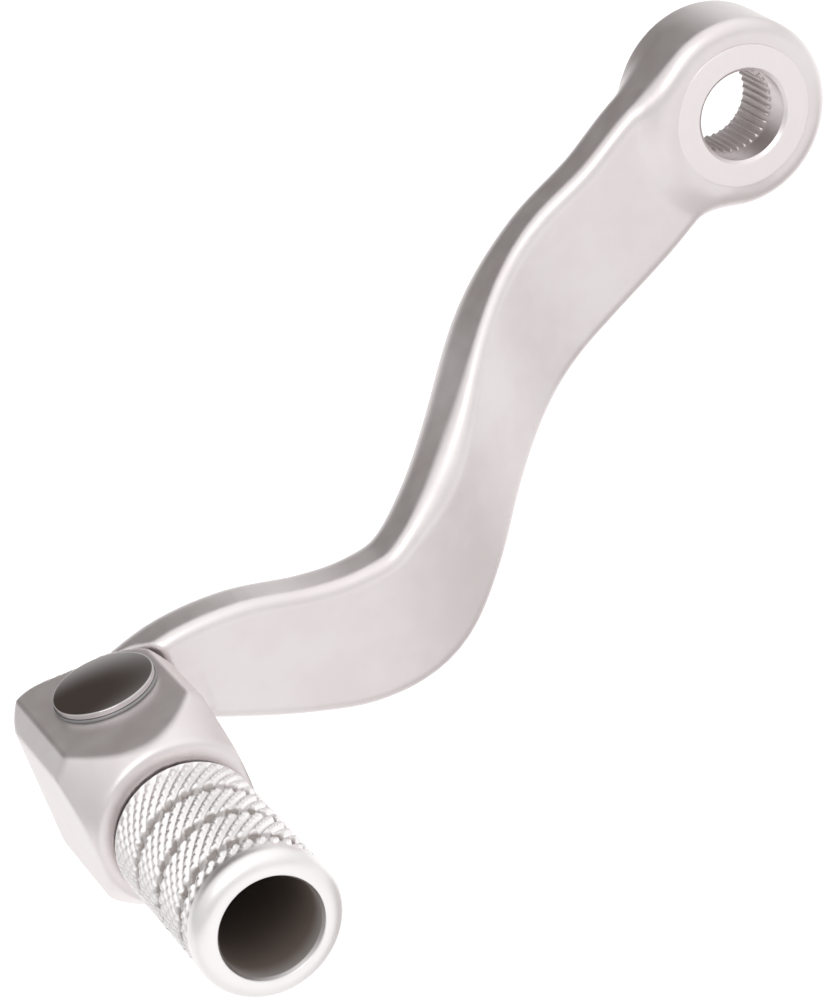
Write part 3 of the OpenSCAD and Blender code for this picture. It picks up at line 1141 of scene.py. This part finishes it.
@dataclass
class HubLiner:
    """Machined middle of the hub: register, bore mouth, smooth bore, step and internal spline."""

    at: Places
    register_r: float = 10.4
    bore_r: float = 6.55
    bore_depth: float = 4.3
    root_r: float = 6.5
    tip_r: float = 6.05
    lead: float = 0.5
    teeth: int = 36
    tip_share: float = 0.143
    flank_share: float = 0.257
    columns: int = 432
    hidden_gap: float = 0.6
    stand: float = 0.04
    spline_shade: float = 0.35
    shade_depth: float = 3.0

    def profile(self) -> Array:
        """Closed profile: mouth, register, hidden wall, seat, lead and bore.

        Returns:
            Points (radius, y), in millimetres.
        """
        front, back = -self.at.seat_y, self.at.seat_y
        hidden = self.register_r - self.hidden_gap
        outside = rounded(
            [
                (self.bore_r, front + self.bore_depth, 0.0),
                (self.bore_r, front + self.lead, 0.06),
                (self.bore_r + self.lead, front, 0.12),
                (self.register_r, front, 0.14),
                (self.register_r, front + 0.42, 0.0),
                (hidden, front + self.hidden_gap, 0.0),
                (hidden, back - self.hidden_gap, 0.0),
                (self.register_r, back - 0.2, 0.0),
                (self.register_r, back + self.stand, 0.05),
                (self.root_r + self.lead, back + self.stand, 0.08),
                (self.tip_r, back - 1.0, 0.0),
            ]
        )
        shoulder = front + self.bore_depth + (self.bore_r - self.tip_r)
        inside = np.array([(self.tip_r, back - 1.1), (self.tip_r, shoulder)])
        loop = np.concatenate([outside, inside, outside[:1]])
        return spread(loop, 0.25)[:-1]

    def build(self, metal: bpy.types.Material) -> bpy.types.Object:
        """Makes the liner.

        Where its bore is narrower than the spline's roots, the wall is the wider of the profile and the
        teeth, which rise and fall as a clipped triangle wave round the axis. The spline's shade deepens
        with the distance behind the smooth bore.

        Args:
            metal: Finish of the machined metal.

        Returns:
            The piece.
        """
        profile = self.profile()
        angle = np.linspace(0, 1, self.columns, endpoint=False) * self.teeth
        wave = np.abs((angle % 1) - 0.5) * 2
        flank = np.clip((wave - self.tip_share) / self.flank_share, 0, 1)
        tooth = self.tip_r + (self.root_r - self.tip_r) * flank
        radius = np.repeat(profile[:, :1], self.columns, 1)
        bore_end = self.bore_depth - self.at.seat_y
        inner = (profile[:, 0] < self.root_r) & (profile[:, 1] > bore_end + 0.15)
        radius = np.where(inner[:, None], np.maximum(radius, tooth), radius)
        piece = Turned("hub_bore_and_spline", profile, (0, 0, 0), Axis.Y, self.columns).ring(radius)
        shade = self.spline_shade * np.clip((profile[:, 1] - bore_end) / self.shade_depth, 0, 1)
        shade = np.where(profile[:, 0] < self.root_r + 0.01, shade, 0)
        mark(piece, "hollow", np.repeat(shade, self.columns))
        return dress(piece, metal)


# ---------------------------------------------------------------------------------------------
# The folding tip
# ---------------------------------------------------------------------------------------------


@dataclass
class Knuckle:
    """Square block at the tip: a clevis with a turned, cone-shaped nose that holds the peg."""

    at: Places
    far_chamfer: float = 2.5
    near_chamfer: float = 1.5
    base_round: float = 4.0
    corner_round: float = 6.0
    edge: float = 0.35
    nose_r: float = 10.3
    nose_round: float = 1.6
    nose_rise: float = 0.8
    nose_deg: float = 24.0
    ear_back: float = 9.3
    slot_r: float = 8.5
    slot_from_deg: float = -28.0
    slot_to_deg: float = 122.0
    pin_r: float = 3.97
    nut_well_r: float = 6.37
    seat_r: float = 9.4
    seat_depth: float = 0.5
    reach: float = 30.0
    sharp: float = 0.1
    step: float = 0.36

    def section(self) -> Array:
        """Cross-section of the bar that the block is cut from.

        Returns:
            Closed outline of points (x, z), in millimetres.
        """
        at = self.at
        return rounded(
            [
                (at.far_x + self.far_chamfer, at.top_z, 0.0),
                (at.near_x - self.near_chamfer, at.top_z, 0.0),
                (at.near_x, at.top_z - self.near_chamfer, 0.0),
                (at.near_x, at.base_z + self.near_chamfer, 0.0),
                (at.near_x - self.near_chamfer, at.base_z, 0.0),
                (at.far_x, at.base_z, self.base_round),
                (at.far_x, at.top_z - self.far_chamfer, 0.0),
            ],
            parts=10,
            closed=True,
        )

    def outline(self) -> Array:
        """Plan of the block: straight sides, ears turned about the pivot, and the stop's heel.

        Returns:
            Closed outline of points (x, y), in millimetres.
        """
        at = self.at
        near = at.near_x - at.pivot_x
        back = math.degrees(math.asin(self.ear_back / near))
        turn = np.radians(np.linspace(0, back, 16))
        ears = np.stack([near * np.cos(turn), near * np.sin(turn)], 1) + (at.pivot_x, at.pivot_y)
        heel = rounded(
            [
                (at.pivot_x, at.pivot_y + self.ear_back, 0.0),
                (at.far_x, at.heel_y, self.corner_round),
                (at.far_x, at.nose_y, 0.0),
            ],
            parts=10,
        )
        return np.concatenate([ears, heel, [(at.near_x, at.nose_y)]])

    def turning(self) -> Array:
        """Profile of the turned nose: end face, rounding, and a cone out to the reach.

        The half profile is mirrored in the axis, so that the outline is closed.

        Returns:
            Closed outline of points (radius, y), in millimetres.
        """
        slope = math.tan(math.radians(self.nose_deg))
        angle = np.linspace(0, math.radians(90 - self.nose_deg), 9)
        out = self.nose_r + self.nose_round * np.sin(angle)
        arc = np.stack([out, self.nose_round * (1 - np.cos(angle))], 1)
        end = arc[-1, 1] + (self.reach - arc[-1, 0]) / slope
        cone = [(self.reach, end), (self.reach, 2 * self.reach)]
        half = np.concatenate([arc, cone]) + (0, self.at.nose_y)
        return np.concatenate([half, (half * (-1, 1))[::-1]])

    def block(self, x: Array, y: Array, z: Array) -> Array:
        """Distance to the whole block, with its slot, bores and wells cut.

        Args:
            x: Places along X, in millimetres.
            y: Places along Y.
            z: Places along Z.

        Returns:
            Signed distances, negative inside.
        """
        at = self.at
        px, py = x - at.pivot_x, y - at.pivot_y
        radial = np.hypot(px, py)
        axis = np.hypot(x - at.peg_x, z - at.peg_z - self.nose_rise)
        end_on, plan = outline_distance(x, z, self.section()), outline_distance(x, y, self.outline())
        solid = meet(end_on, plan, self.edge)
        solid = meet(solid, outline_distance(axis, y, self.turning()), self.edge)
        first, last = math.radians(self.slot_from_deg), math.radians(self.slot_to_deg)
        past_first = px * math.sin(first) - py * math.cos(first)
        past_last = py * math.cos(last) - px * math.sin(last)
        slot = np.minimum(radial - self.slot_r, np.maximum(past_first, past_last))
        middle, half = (at.slot_low + at.slot_high) / 2, (at.slot_high - at.slot_low) / 2
        solid = cut(solid, np.maximum(slot, np.abs(z - middle) - half), 0.2)
        solid = cut(solid, radial - self.pin_r, self.sharp)
        solid = cut(solid, np.maximum(radial - self.nut_well_r, z - at.nut_high), 1.5 * self.sharp)
        seat = np.hypot(x - at.peg_x, z - at.peg_z) - self.seat_r
        return cut(solid, np.maximum(seat, y - at.nose_y - self.seat_depth), 1.5 * self.sharp)

    def build(self, metal: bpy.types.Material) -> bpy.types.Object:
        """Makes the block's mesh.

        Args:
            metal: Finish of the forging.

        Returns:
            The piece.
        """
        low, high = node_box("tip_knuckle")
        points, quads = field_surface(self.block, low, high, self.step)
        return dress(make_piece("knuckle_block", points, quads), metal)


@dataclass
class ToePeg:
    """Hollow round peg with a coarse diagonal knurl between grooves and a smooth, rounded end."""

    at: Places
    peg_r: float = 10.0
    collar_r: float = 10.1
    neck_r: float = 9.0
    neck: float = 0.8
    groove: float = 1.6
    groove_depth: float = 1.0
    groove_pitch: float = 7.6
    smooth_end: float = 3.2
    end_round: float = 2.2
    hole_r: float = 6.85
    hole_depth: float = 38.0
    shank_r: float = 8.0
    shank_length: float = 10.0
    pole_r: float = 0.3
    ridge_mm: float = 1.33
    ridge_slant: float = 1.15
    ridge_depth: float = 0.55
    furrow_from: float = 0.40
    furrow_over: float = 0.45
    fade_in: float = 0.5
    fade_out: float = 1.2
    cross_share: float = 0.4
    pits: int = 20
    # Painted shade in the pits of the grooves and on the walls of the hole.
    pit_dark: float = 0.8
    wall_dark: float = 0.6
    hair: float = 0.02
    columns: int = 400

    def profile(self) -> Array:
        """Half profile, from the shank's pole round the outside and down into the hollow.

        Returns:
            Points (radius, y), in millimetres.
        """
        nose, end = self.at.nose_y, self.at.peg_end
        outside = rounded(
            [
                (self.pole_r, nose + self.shank_length, 0.0),
                (self.shank_r, nose + self.shank_length, 0.3),
                (self.shank_r, nose, 0.0),
                (self.neck_r, nose + 0.1, 0.0),
                (self.neck_r, nose - self.neck, 0.0),
                (self.peg_r, nose - self.neck - 0.25, 0.1),
                (self.peg_r, end + self.smooth_end, 2.0),
                (self.collar_r, end + self.end_round + 0.1, 0.0),
                (self.collar_r, end, self.end_round),
                (self.hole_r + 0.35, end, 0.25),
                (self.hole_r, end + 0.7, 0.3),
                (self.hole_r, end + self.hole_depth, 0.5),
                (self.pole_r, end + self.hole_depth + 0.4, 0.0),
            ],
            parts=8,
        )
        first = int(np.argmax(outside[:, 0] > self.peg_r - self.hair))
        last = int(np.argmin(np.abs(outside[:, 1] - end - self.smooth_end)))
        shank, knurl, rest = outside[: first + 1], outside[first : last + 1], outside[last:]
        return np.concatenate([spread(shank, 1.0), spread(knurl, 0.24)[1:-1], spread(rest, 0.9)])

    def relief(self, y: Array, angle: Array) -> Array:
        """How far the knurl lies below the peg's radius.

        Furrows wind round the peg: each is a clipped triangle wave of the phase, which is the distance
        along y, over the slant, plus the arc. A second, shallower set crosses them, with the arc taken
        off. Three grooves run round the peg between the rows, and all of it fades out at the knurl's
        ends.

        Args:
            y: Distance outboard of the knuckle, in millimetres, positive outwards.
            angle: Angle round the peg, in radians.

        Returns:
            Depth below the outer radius, in millimetres.
        """
        arc = angle * self.peg_r
        starts = round(2 * math.pi * self.peg_r / (self.ridge_mm * math.sqrt(2)))
        pitch = 2 * math.pi * self.peg_r / starts
        main = np.abs(((y / self.ridge_slant + arc) / pitch) % 1 - 0.5) * 2
        cross = np.abs(((y - arc) / pitch) % 1 - 0.5) * 2
        ridge = np.clip((main - self.furrow_from) / self.furrow_over, 0, 1) * self.ridge_depth
        teeth = np.clip((cross - 0.5) / 0.5, 0, 1) * self.ridge_depth * self.cross_share
        length = self.at.nose_y - self.at.peg_end - self.smooth_end
        shown = np.clip((y - self.neck - 0.3) / self.fade_in, 0, 1)
        shown = shown * np.clip((length - y) / self.fade_out, 0, 1)
        return np.maximum(np.maximum(ridge, teeth), self.rings(y, angle) * self.groove_depth) * shown

    def rings(self, y: Array, angle: Array) -> Array:
        """Share of the full depth in the grooves that run round the peg between the rows.

        A wave round the peg makes each groove deepest in a row of pits.

        Args:
            y: Distance outboard of the knuckle, in millimetres, positive outwards.
            angle: Angle round the peg, in radians.

        Returns:
            Numbers from 0 to 1.
        """
        row = (y - self.neck) / self.groove_pitch
        nearest = np.abs(row - np.round(row)) * self.groove_pitch
        inside = np.clip((self.groove / 2 + 0.15 - nearest) / 0.3, 0, 1)
        last = (self.at.nose_y - self.at.peg_end - self.smooth_end - self.neck) / self.groove_pitch
        pits = np.clip(np.sin(angle * self.pits + y * 0.8) * 1.5 + 0.7, 0.4, 1)
        return inside * pits * ((np.round(row) > 0) & (np.round(row) < last))

    def build(self, metal: bpy.types.Material) -> bpy.types.Object:
        """Makes the peg.

        Its attribute of painted shade darkens the walls of the hole, the more the deeper, and the pits
        of the grooves.

        Args:
            metal: Finish of the machined metal.

        Returns:
            The piece.
        """
        profile = self.profile()
        centre = (self.at.peg_x, 0, self.at.peg_z)
        angle = np.linspace(0, 2 * math.pi, self.columns, endpoint=False)
        outboard = self.at.nose_y - profile[:, 1:]
        radius = np.repeat(profile[:, :1], self.columns, 1)
        outside = np.abs(profile[:, :1] - self.peg_r) < self.hair
        radius = radius - np.where(outside, self.relief(outboard, angle[None, :]), 0)
        piece = Turned("knurled_toe_peg", profile, centre, Axis.Y, self.columns).solid(radius)
        past_end = np.arange(len(profile)) > np.argmin(profile[:, 1])
        inner = past_end & (profile[:, 0] < self.hole_r + 0.03)
        depth = np.clip((profile[:, 1] - self.at.peg_end - 0.6) / 2.5, 0, 1)
        # Painted shade: the pits of the grooves, and the walls of the hole, darker deeper in.
        pit_shade = np.where(outside, np.clip(self.rings(outboard, angle[None, :]) * 3 - 0.6, 0, 1), 0)
        wall_shade = np.where(inner, self.wall_dark + (1 - self.wall_dark) * depth, 0)
        dark = wall_shade[:, None] + pit_shade * self.pit_dark
        mark(piece, "hollow", np.concatenate([dark.ravel(), [0.0, 1.0]]))
        return dress(piece, metal)


@dataclass
class PivotPin:
    """Pin that the tip turns on: a domed, polished head, a ground shank and a threaded end."""

    at: Places
    shank_r: float = 3.95
    thread_r: float = 3.0
    thread_pitch: float = 1.0
    thread_depth: float = 0.42
    head_edge: float = 0.8
    washer: float = 0.45
    pole_r: float = 0.2

    def build(self, steel: bpy.types.Material) -> bpy.types.Object:
        """Makes the pin: a turned profile whose last stretch is cut by a helical groove.

        The crown is a sphere's cap: its radius follows from the head's radius and the dome's rise.

        Args:
            steel: Polished finish.

        Returns:
            The piece.
        """
        low, high = node_box("pivot_pin")
        head_r, head_z, top = (high[0] - low[0]) / 2, self.at.top_z + self.washer, high[2]
        dome = top - head_z - self.head_edge
        cap = (head_r**2 + dome**2) / (2 * dome)
        away = np.linspace(self.pole_r, head_r - 0.22, 24)
        crown = np.stack([away, top - cap + np.sqrt(cap**2 - away**2)], 1)
        rest = rounded(
            [
                (away[-1], float(crown[-1, 1]), 0.0),
                (head_r, head_z + self.head_edge - 0.02, 0.18),
                (head_r, head_z, 0.14),
                (self.shank_r, head_z, 0.05),
                (self.shank_r, self.at.nut_high, 0.12),
                (self.thread_r, self.at.nut_high, 0.0),
                (self.thread_r, low[2], 0.35),
                (self.pole_r, low[2], 0.0),
            ],
            parts=6,
        )
        profile = spread(np.concatenate([crown[:-1], rest]), 0.14)
        turned = Turned("pivot_pin_polished", profile, (self.at.pivot_x, self.at.pivot_y, 0), Axis.Z, 96)
        angle = np.linspace(0, 1, turned.columns, endpoint=False)
        thin = np.abs(profile[:, :1] - self.thread_r) < 0.02
        threaded = thin & (profile[:, 1:] < self.at.nut_high - 0.1)
        wave = np.abs(((profile[:, 1:] / self.thread_pitch - angle[None, :]) % 1) - 0.5) * 2
        radius = profile[:, :1] - np.where(threaded, wave * self.thread_depth, 0)
        return dress(turned.solid(radius), steel)


@dataclass
class SmallHardware:
    """Washer under the head, lock nut and return spring."""

    at: Places
    washer_inner: float = 4.1
    washer_rim: float = 0.16
    nut_flats: float = 10.0
    nut_bore: float = 3.0
    nut_lead: float = 0.4
    nut_cone: float = 0.7
    nut_cone_rise: float = 0.45
    nut_columns: int = 192
    wire_r: float = 0.5
    wire_sides: int = 16
    bend: float = 0.8
    spring_r: float = 5.8
    turns: int = 3
    pitch: float = 1.15
    first_coil: float = 4.15

    def head_washer(self, steel: bpy.types.Material) -> bpy.types.Object:
        """Thin washer with rounded rims, as a turned ring.

        Args:
            steel: Its finish.

        Returns:
            The piece.
        """
        low, high = node_box("head_washer")
        outer = (high[0] - low[0]) / 2
        profile = rounded(
            [
                (self.washer_inner, high[2], self.washer_rim),
                (outer, high[2], self.washer_rim),
                (outer, low[2], self.washer_rim),
                (self.washer_inner, low[2], self.washer_rim),
            ],
            closed=True,
        )
        centre = (self.at.pivot_x, self.at.pivot_y, 0)
        return dress(Turned("head_washer_ring", profile, centre, Axis.Z, 128).ring(), steel)

    def lock_nut(self, steel: bpy.types.Material) -> bpy.types.Object:
        """Hexagon nut, cut by a cone at each end.

        At each angle its wall is at the flat's distance over the cosine of the angle from that flat's
        middle.

        Args:
            steel: Its finish.

        Returns:
            The piece.
        """
        low, high = self.at.nut_low, self.at.nut_high
        corner = self.nut_flats / math.sqrt(3)
        outer = rounded(
            [
                (self.nut_bore + self.nut_lead, high, 0.0),
                (corner - self.nut_cone, high, 0.1),
                (corner, high - self.nut_cone_rise, 0.1),
                (corner, low + self.nut_cone_rise, 0.1),
                (corner - self.nut_cone, low, 0.1),
                (self.nut_bore + self.nut_lead, low, 0.1),
                (self.nut_bore, low + self.nut_lead, 0.1),
                (self.nut_bore, high - self.nut_lead, 0.1),
            ],
            closed=True,
        )
        profile = spread(np.concatenate([outer, outer[:1]]), 0.25)[:-1]
        angle = np.linspace(0, 2 * math.pi, self.nut_columns, endpoint=False)
        flat = self.nut_flats / 2 / np.cos((angle % (math.pi / 3)) - math.pi / 6)
        radius = np.minimum(profile[:, :1], flat[None, :])
        centre = (self.at.pivot_x, self.at.pivot_y, 0)
        nut = Turned("lock_nut_hexagon", profile, centre, Axis.Z, self.nut_columns).ring(radius)
        return dress(nut, steel)

    def coil_z(self, turn: float) -> float:
        """Height of the wire's middle after some turns of the helix."""
        return self.at.tongue_high - self.first_coil + turn * self.pitch

    def wire_path(self) -> Array:
        """Middle of the spring's wire: a straight leg, a quarter bend, the helix, a bend and a leg.

        The helix is (R cos a, R sin a, z) with z rising in step with the turns; each bend is a quarter
        circle that leads a leg into it.

        Returns:
            Points along the wire about the pivot, in millimetres.
        """
        bend, radius = self.bend, self.spring_r
        low, high = self.coil_z(0), self.coil_z(self.turns)
        quarter = np.linspace(0, math.pi / 2, 9)
        leg_low = np.linspace(self.at.tongue_low + 0.3, low - bend, 6)
        leg_high = np.linspace(high + bend, self.at.slot_high + 1.2, 6)
        turn = np.linspace(-bend / radius, bend / radius - 2 * math.pi * self.turns, 48 * self.turns)
        rise = np.linspace(low, high, len(turn))

        def rail(y: Array, z: Array) -> Array:
            """Points beside the pivot at the spring's radius."""
            return np.stack([np.full(len(z), radius), y, z], 1)

        return np.concatenate(
            [
                rail(np.zeros(6), leg_low),
                rail(-bend * (1 - np.cos(quarter)), low - bend + bend * np.sin(quarter))[1:],
                np.stack([radius * np.cos(turn), radius * np.sin(turn), rise], 1)[1:],
                rail(bend - bend * np.sin(quarter), high + bend * (1 - np.cos(quarter)))[1:],
                rail(np.zeros(6), leg_high)[1:],
            ]
        )

    def return_spring(self, steel: bpy.types.Material) -> bpy.types.Object:
        """Sweeps a circle along the wire.

        Its plane holds the direction away from the pivot and that direction's cross product with the
        wire's tangent.

        Args:
            steel: Its finish.

        Returns:
            The piece.
        """
        path = self.wire_path()
        tangent = np.gradient(path, axis=0)
        tangent /= np.linalg.norm(tangent, axis=1)[:, None]
        away = path * (1, 1, 0)
        away /= np.linalg.norm(away, axis=1)[:, None]
        side = np.cross(tangent, away)
        side /= np.linalg.norm(side, axis=1)[:, None]
        angle = np.linspace(0, 2 * math.pi, self.wire_sides, endpoint=False)[None, :, None]
        rim = np.cos(angle) * away[:, None] + np.sin(angle) * side[:, None]
        centre = np.array([self.at.pivot_x, self.at.pivot_y, 0])
        points = (path[:, None] + rim * self.wire_r + centre).reshape(-1, 3)
        points = np.concatenate([points, path[[0, -1]] + centre])
        quads, ends = grid_quads(len(path), self.wire_sides, False), caps(len(path), self.wire_sides)
        return dress(make_piece("return_spring_wire", points, quads, ends), steel)


# ---------------------------------------------------------------------------------------------
# Studio
# ---------------------------------------------------------------------------------------------


@dataclass(frozen=True)
class Studio:
    """Pale floor, soft light and the camera."""

    eye: tuple[float, float, float] = (-0.19604, -0.49843, 0.24339)
    heading_deg: float = 14.973
    down_deg: float = 28.209
    roll_deg: float = 20.807
    lens_mm: float = 147.96
    floor_half_mm: float = 4000.0
    floor_z: float = -0.16
    # Strength of the floor's painted glow.
    floor_glow: float = 0.35
    shadow_pool_x: float = 0.07
    shadow_pool_y: float = -0.10
    shadow_pool_r: float = 0.19
    overhead: float = 1.2
    around: float = 0.84
    side_dim: float = 0.25
    dark_rise: float = math.radians(34)
    dark_turn: float = -0.12
    dark_wide: float = 0.85
    dark_high: float = 0.5
    dark_tone: tuple[float, float, float, float] = (0.085, 0.07, 0.061, 1.0)

    def paper(self) -> bpy.types.Material:
        """Pale floor paper with painted light: a painted shadow dims a round pool under the lever, and a
        slight painted glow is strongest behind the lever and weaker far in front of it.

        Returns:
            The material.
        """
        material, shader = new_material("pale_floor")
        place = shader.place()
        x, y, _ = shader.parts(place)
        grain = shader.noise(place, 6.0, 3.0)
        # Painted light: the floor glows a little everywhere, most behind the lever and partly far in
        # front of it.
        behind = shader.clamp(y, -0.04, 0.03) * (shader.clamp(x, -0.24, -0.14) * 0.6 + 0.4)
        before = shader.clamp(y, -0.12, -0.24)
        # Painted shadow: the floor is darker in a soft round pool under the lever.
        aside, along = x - self.shadow_pool_x, y - self.shadow_pool_y
        outside = shader.clamp((aside * aside + along * along) ** 0.5, self.shadow_pool_r / 2, self.shadow_pool_r)
        pale = shader.mix(grain, grey(0.9), grey(0.93))
        inputs = {
            "Base Color": shader.mix(outside, grey(0.56, 0.03), pale),
            "Roughness": grain * 0.1 + 0.8,
            "Emission Color": shader.mix(behind + before * 0.45, grey(0.12), grey(1.0)),
            "Emission Strength": self.floor_glow,
            "Normal": shader.bump(grain, 0.01),
        }
        surface(shader, inputs)
        return material

    def floor(self) -> None:
        """Wide pale floor well below the lever, which is held by its hub and not by the floor."""
        half, height = self.floor_half_mm, self.floor_z / MM
        square = np.array([(-half, -half, 0), (half, -half, 0), (half, half, 0), (-half, half, 0)])
        floor = make_piece("floor", square + (0, 0, height), np.array([[0, 1, 2, 3]]))
        dress(floor, self.paper())

    def world(self) -> None:
        """Pale surroundings, brightest overhead, with a wide, soft dark field high behind the lever.

        The lever's tops and the polished pin mirror that field. It is an ellipse in the tangents of the
        two angles from its middle.
        """
        world = bpy.data.worlds.new("studio")
        bpy.context.scene.world = world
        world.use_nodes = True
        shader = Shader(world.node_tree)
        x, y, z = shader.parts(shader.node("ShaderNodeTexCoord", output="Generated"))
        ahead = (y * math.cos(self.dark_rise) + z * math.sin(self.dark_rise)).at_least(0.05)
        over = z * math.cos(self.dark_rise) - y * math.sin(self.dark_rise)
        across = (x - y * self.dark_turn) / self.dark_wide
        reach = (across * across + over * over / self.dark_high**2) ** 0.5 / ahead
        share = shader.clamp(reach, 0.28, 1.2)
        light = shader.mix(shader.clamp(z, 0.1, 0.9), grey(self.around), grey(self.overhead))
        dimmed = shader.mix(self.side_dim, light, grey(0.0))
        light = shader.mix(shader.clamp(x, -0.9, 0.6), dimmed, light)
        light = shader.mix(share, self.dark_tone, light)
        background = shader.node("ShaderNodeBackground", None, {"Color": light, "Strength": 1.0})
        shader.node("ShaderNodeOutputWorld", None, {"Surface": background})

    def lamp(
        self, name: str, place: Sequence[float], aim: Sequence[float], size: float, power: float
    ) -> None:
        """Square soft light.

        Args:
            name: Name of the light.
            place: Where it stands, in metres.
            aim: The point it faces.
            size: Side of the square, in metres.
            power: Power in watts.
        """
        light = bpy.data.lights.new(name, "AREA")
        light.size, light.energy = size, power
        lamp = bpy.data.objects.new(name, light)
        lamp.location = place
        lamp.rotation_mode = "QUATERNION"
        lamp.rotation_quaternion = (Vector(aim) - Vector(place)).to_track_quat("-Z", "Y")
        bpy.context.scene.collection.objects.link(lamp)

    def camera(self) -> None:
        """Long-lens camera: turned by its heading, tipped down, then rolled about its own axis."""
        data = bpy.data.cameras.new("camera")
        data.lens, data.sensor_width = self.lens_mm, 36.0
        data.clip_start, data.clip_end = 0.01, 20.0
        camera = bpy.data.objects.new("camera", data)
        heading, tip = math.radians(self.heading_deg), math.radians(90 - self.down_deg)
        turn = Matrix.Rotation(-heading, 4, "Z") @ Matrix.Rotation(tip, 4, "X")
        roll = Matrix.Rotation(math.radians(-self.roll_deg), 4, "Z")
        camera.matrix_world = Matrix.Translation(self.eye) @ turn @ roll
        bpy.context.scene.collection.objects.link(camera)
        bpy.context.scene.camera = camera

    def build(self) -> None:
        """Sets the whole studio up."""
        self.floor()
        self.world()
        self.lamp("key", place=(-0.35, -0.6, 0.9), aim=(-0.06, -0.02, -0.02), size=0.6, power=1.6)
        self.camera()
        bpy.context.scene.view_settings.view_transform = "Standard"


# ---------------------------------------------------------------------------------------------
# The whole object
# ---------------------------------------------------------------------------------------------


def corners(box: Sequence[Vector]) -> list[list[float]]:
    """Two corners as plain lists."""
    return [list(corner) for corner in box]


def main() -> None:
    """Builds the pieces in order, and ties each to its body."""
    logging.basicConfig(level=logging.INFO, format="%(name)s: %(message)s")
    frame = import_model()
    at = Places.read()
    Studio().build()

    forging = BlastedForging().build()
    machined = TurnedAluminium("machined_hub", 0.0, 0.0, tone=0.86, warmth=0.04, roughness=0.40).build()
    knurled = TurnedAluminium("machined_peg", at.peg_x, at.peg_z).build()
    mirror = Steel("polished_pin", 0.6, 0.06, scratch_depth_mm=0.0016, warmth=0.03).build()
    plain = Steel("plain_steel", 0.34, 0.34).build()
    wire = Steel("spring_wire", 0.42, 0.3, scratch_mm=0.3).build()
    bronze = Plain("bush_bronze", (0.62, 0.42, 0.2, 1), (0.72, 0.52, 0.27, 1), 0.3, metallic=1.0).build()
    black = Plain("washer_plastic", (0.012, 0.012, 0.013, 1), (0.03, 0.03, 0.031, 1), 0.45).build()

    hardware = SmallHardware(at)
    pieces = (
        (LeverArm(at).build(forging), "arm", "lever_arm", "forged_aluminium"),
        (HubLiner(at).build(machined), "arm", None, "forged_aluminium"),
        (Knuckle(at).build(forging), "tip", "tip_knuckle", "forged_aluminium"),
        (ToePeg(at).build(knurled), "tip", "toe_peg", "machined_aluminium"),
        (PivotPin(at).build(mirror), "tip", "pivot_pin", "polished_steel"),
        (hardware.head_washer(plain), "tip", "head_washer", "plain_steel"),
        (hardware.lock_nut(plain), "tip", "lock_nut", "plain_steel"),
    )
    for piece, body, node, slot in pieces:
        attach(piece, body)
        if node:
            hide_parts(node)
    spring = hardware.return_spring(wire)
    low = Vector((at.pivot_x, at.pivot_y, hardware.coil_z(0))) * MM
    high = Vector((at.pivot_x, at.pivot_y, hardware.coil_z(hardware.turns))) * MM
    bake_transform(spring)
    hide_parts("return_spring")
    kept = (("pivot_bush", bronze), ("upper_thrust_washer", black), ("lower_thrust_washer", black))
    for node, material in kept:
        dress(frame["nodes"][node], material)
        log.info("%s keeps its CAD shape", node)
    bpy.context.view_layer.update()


if __name__ == "__main__":
    main()
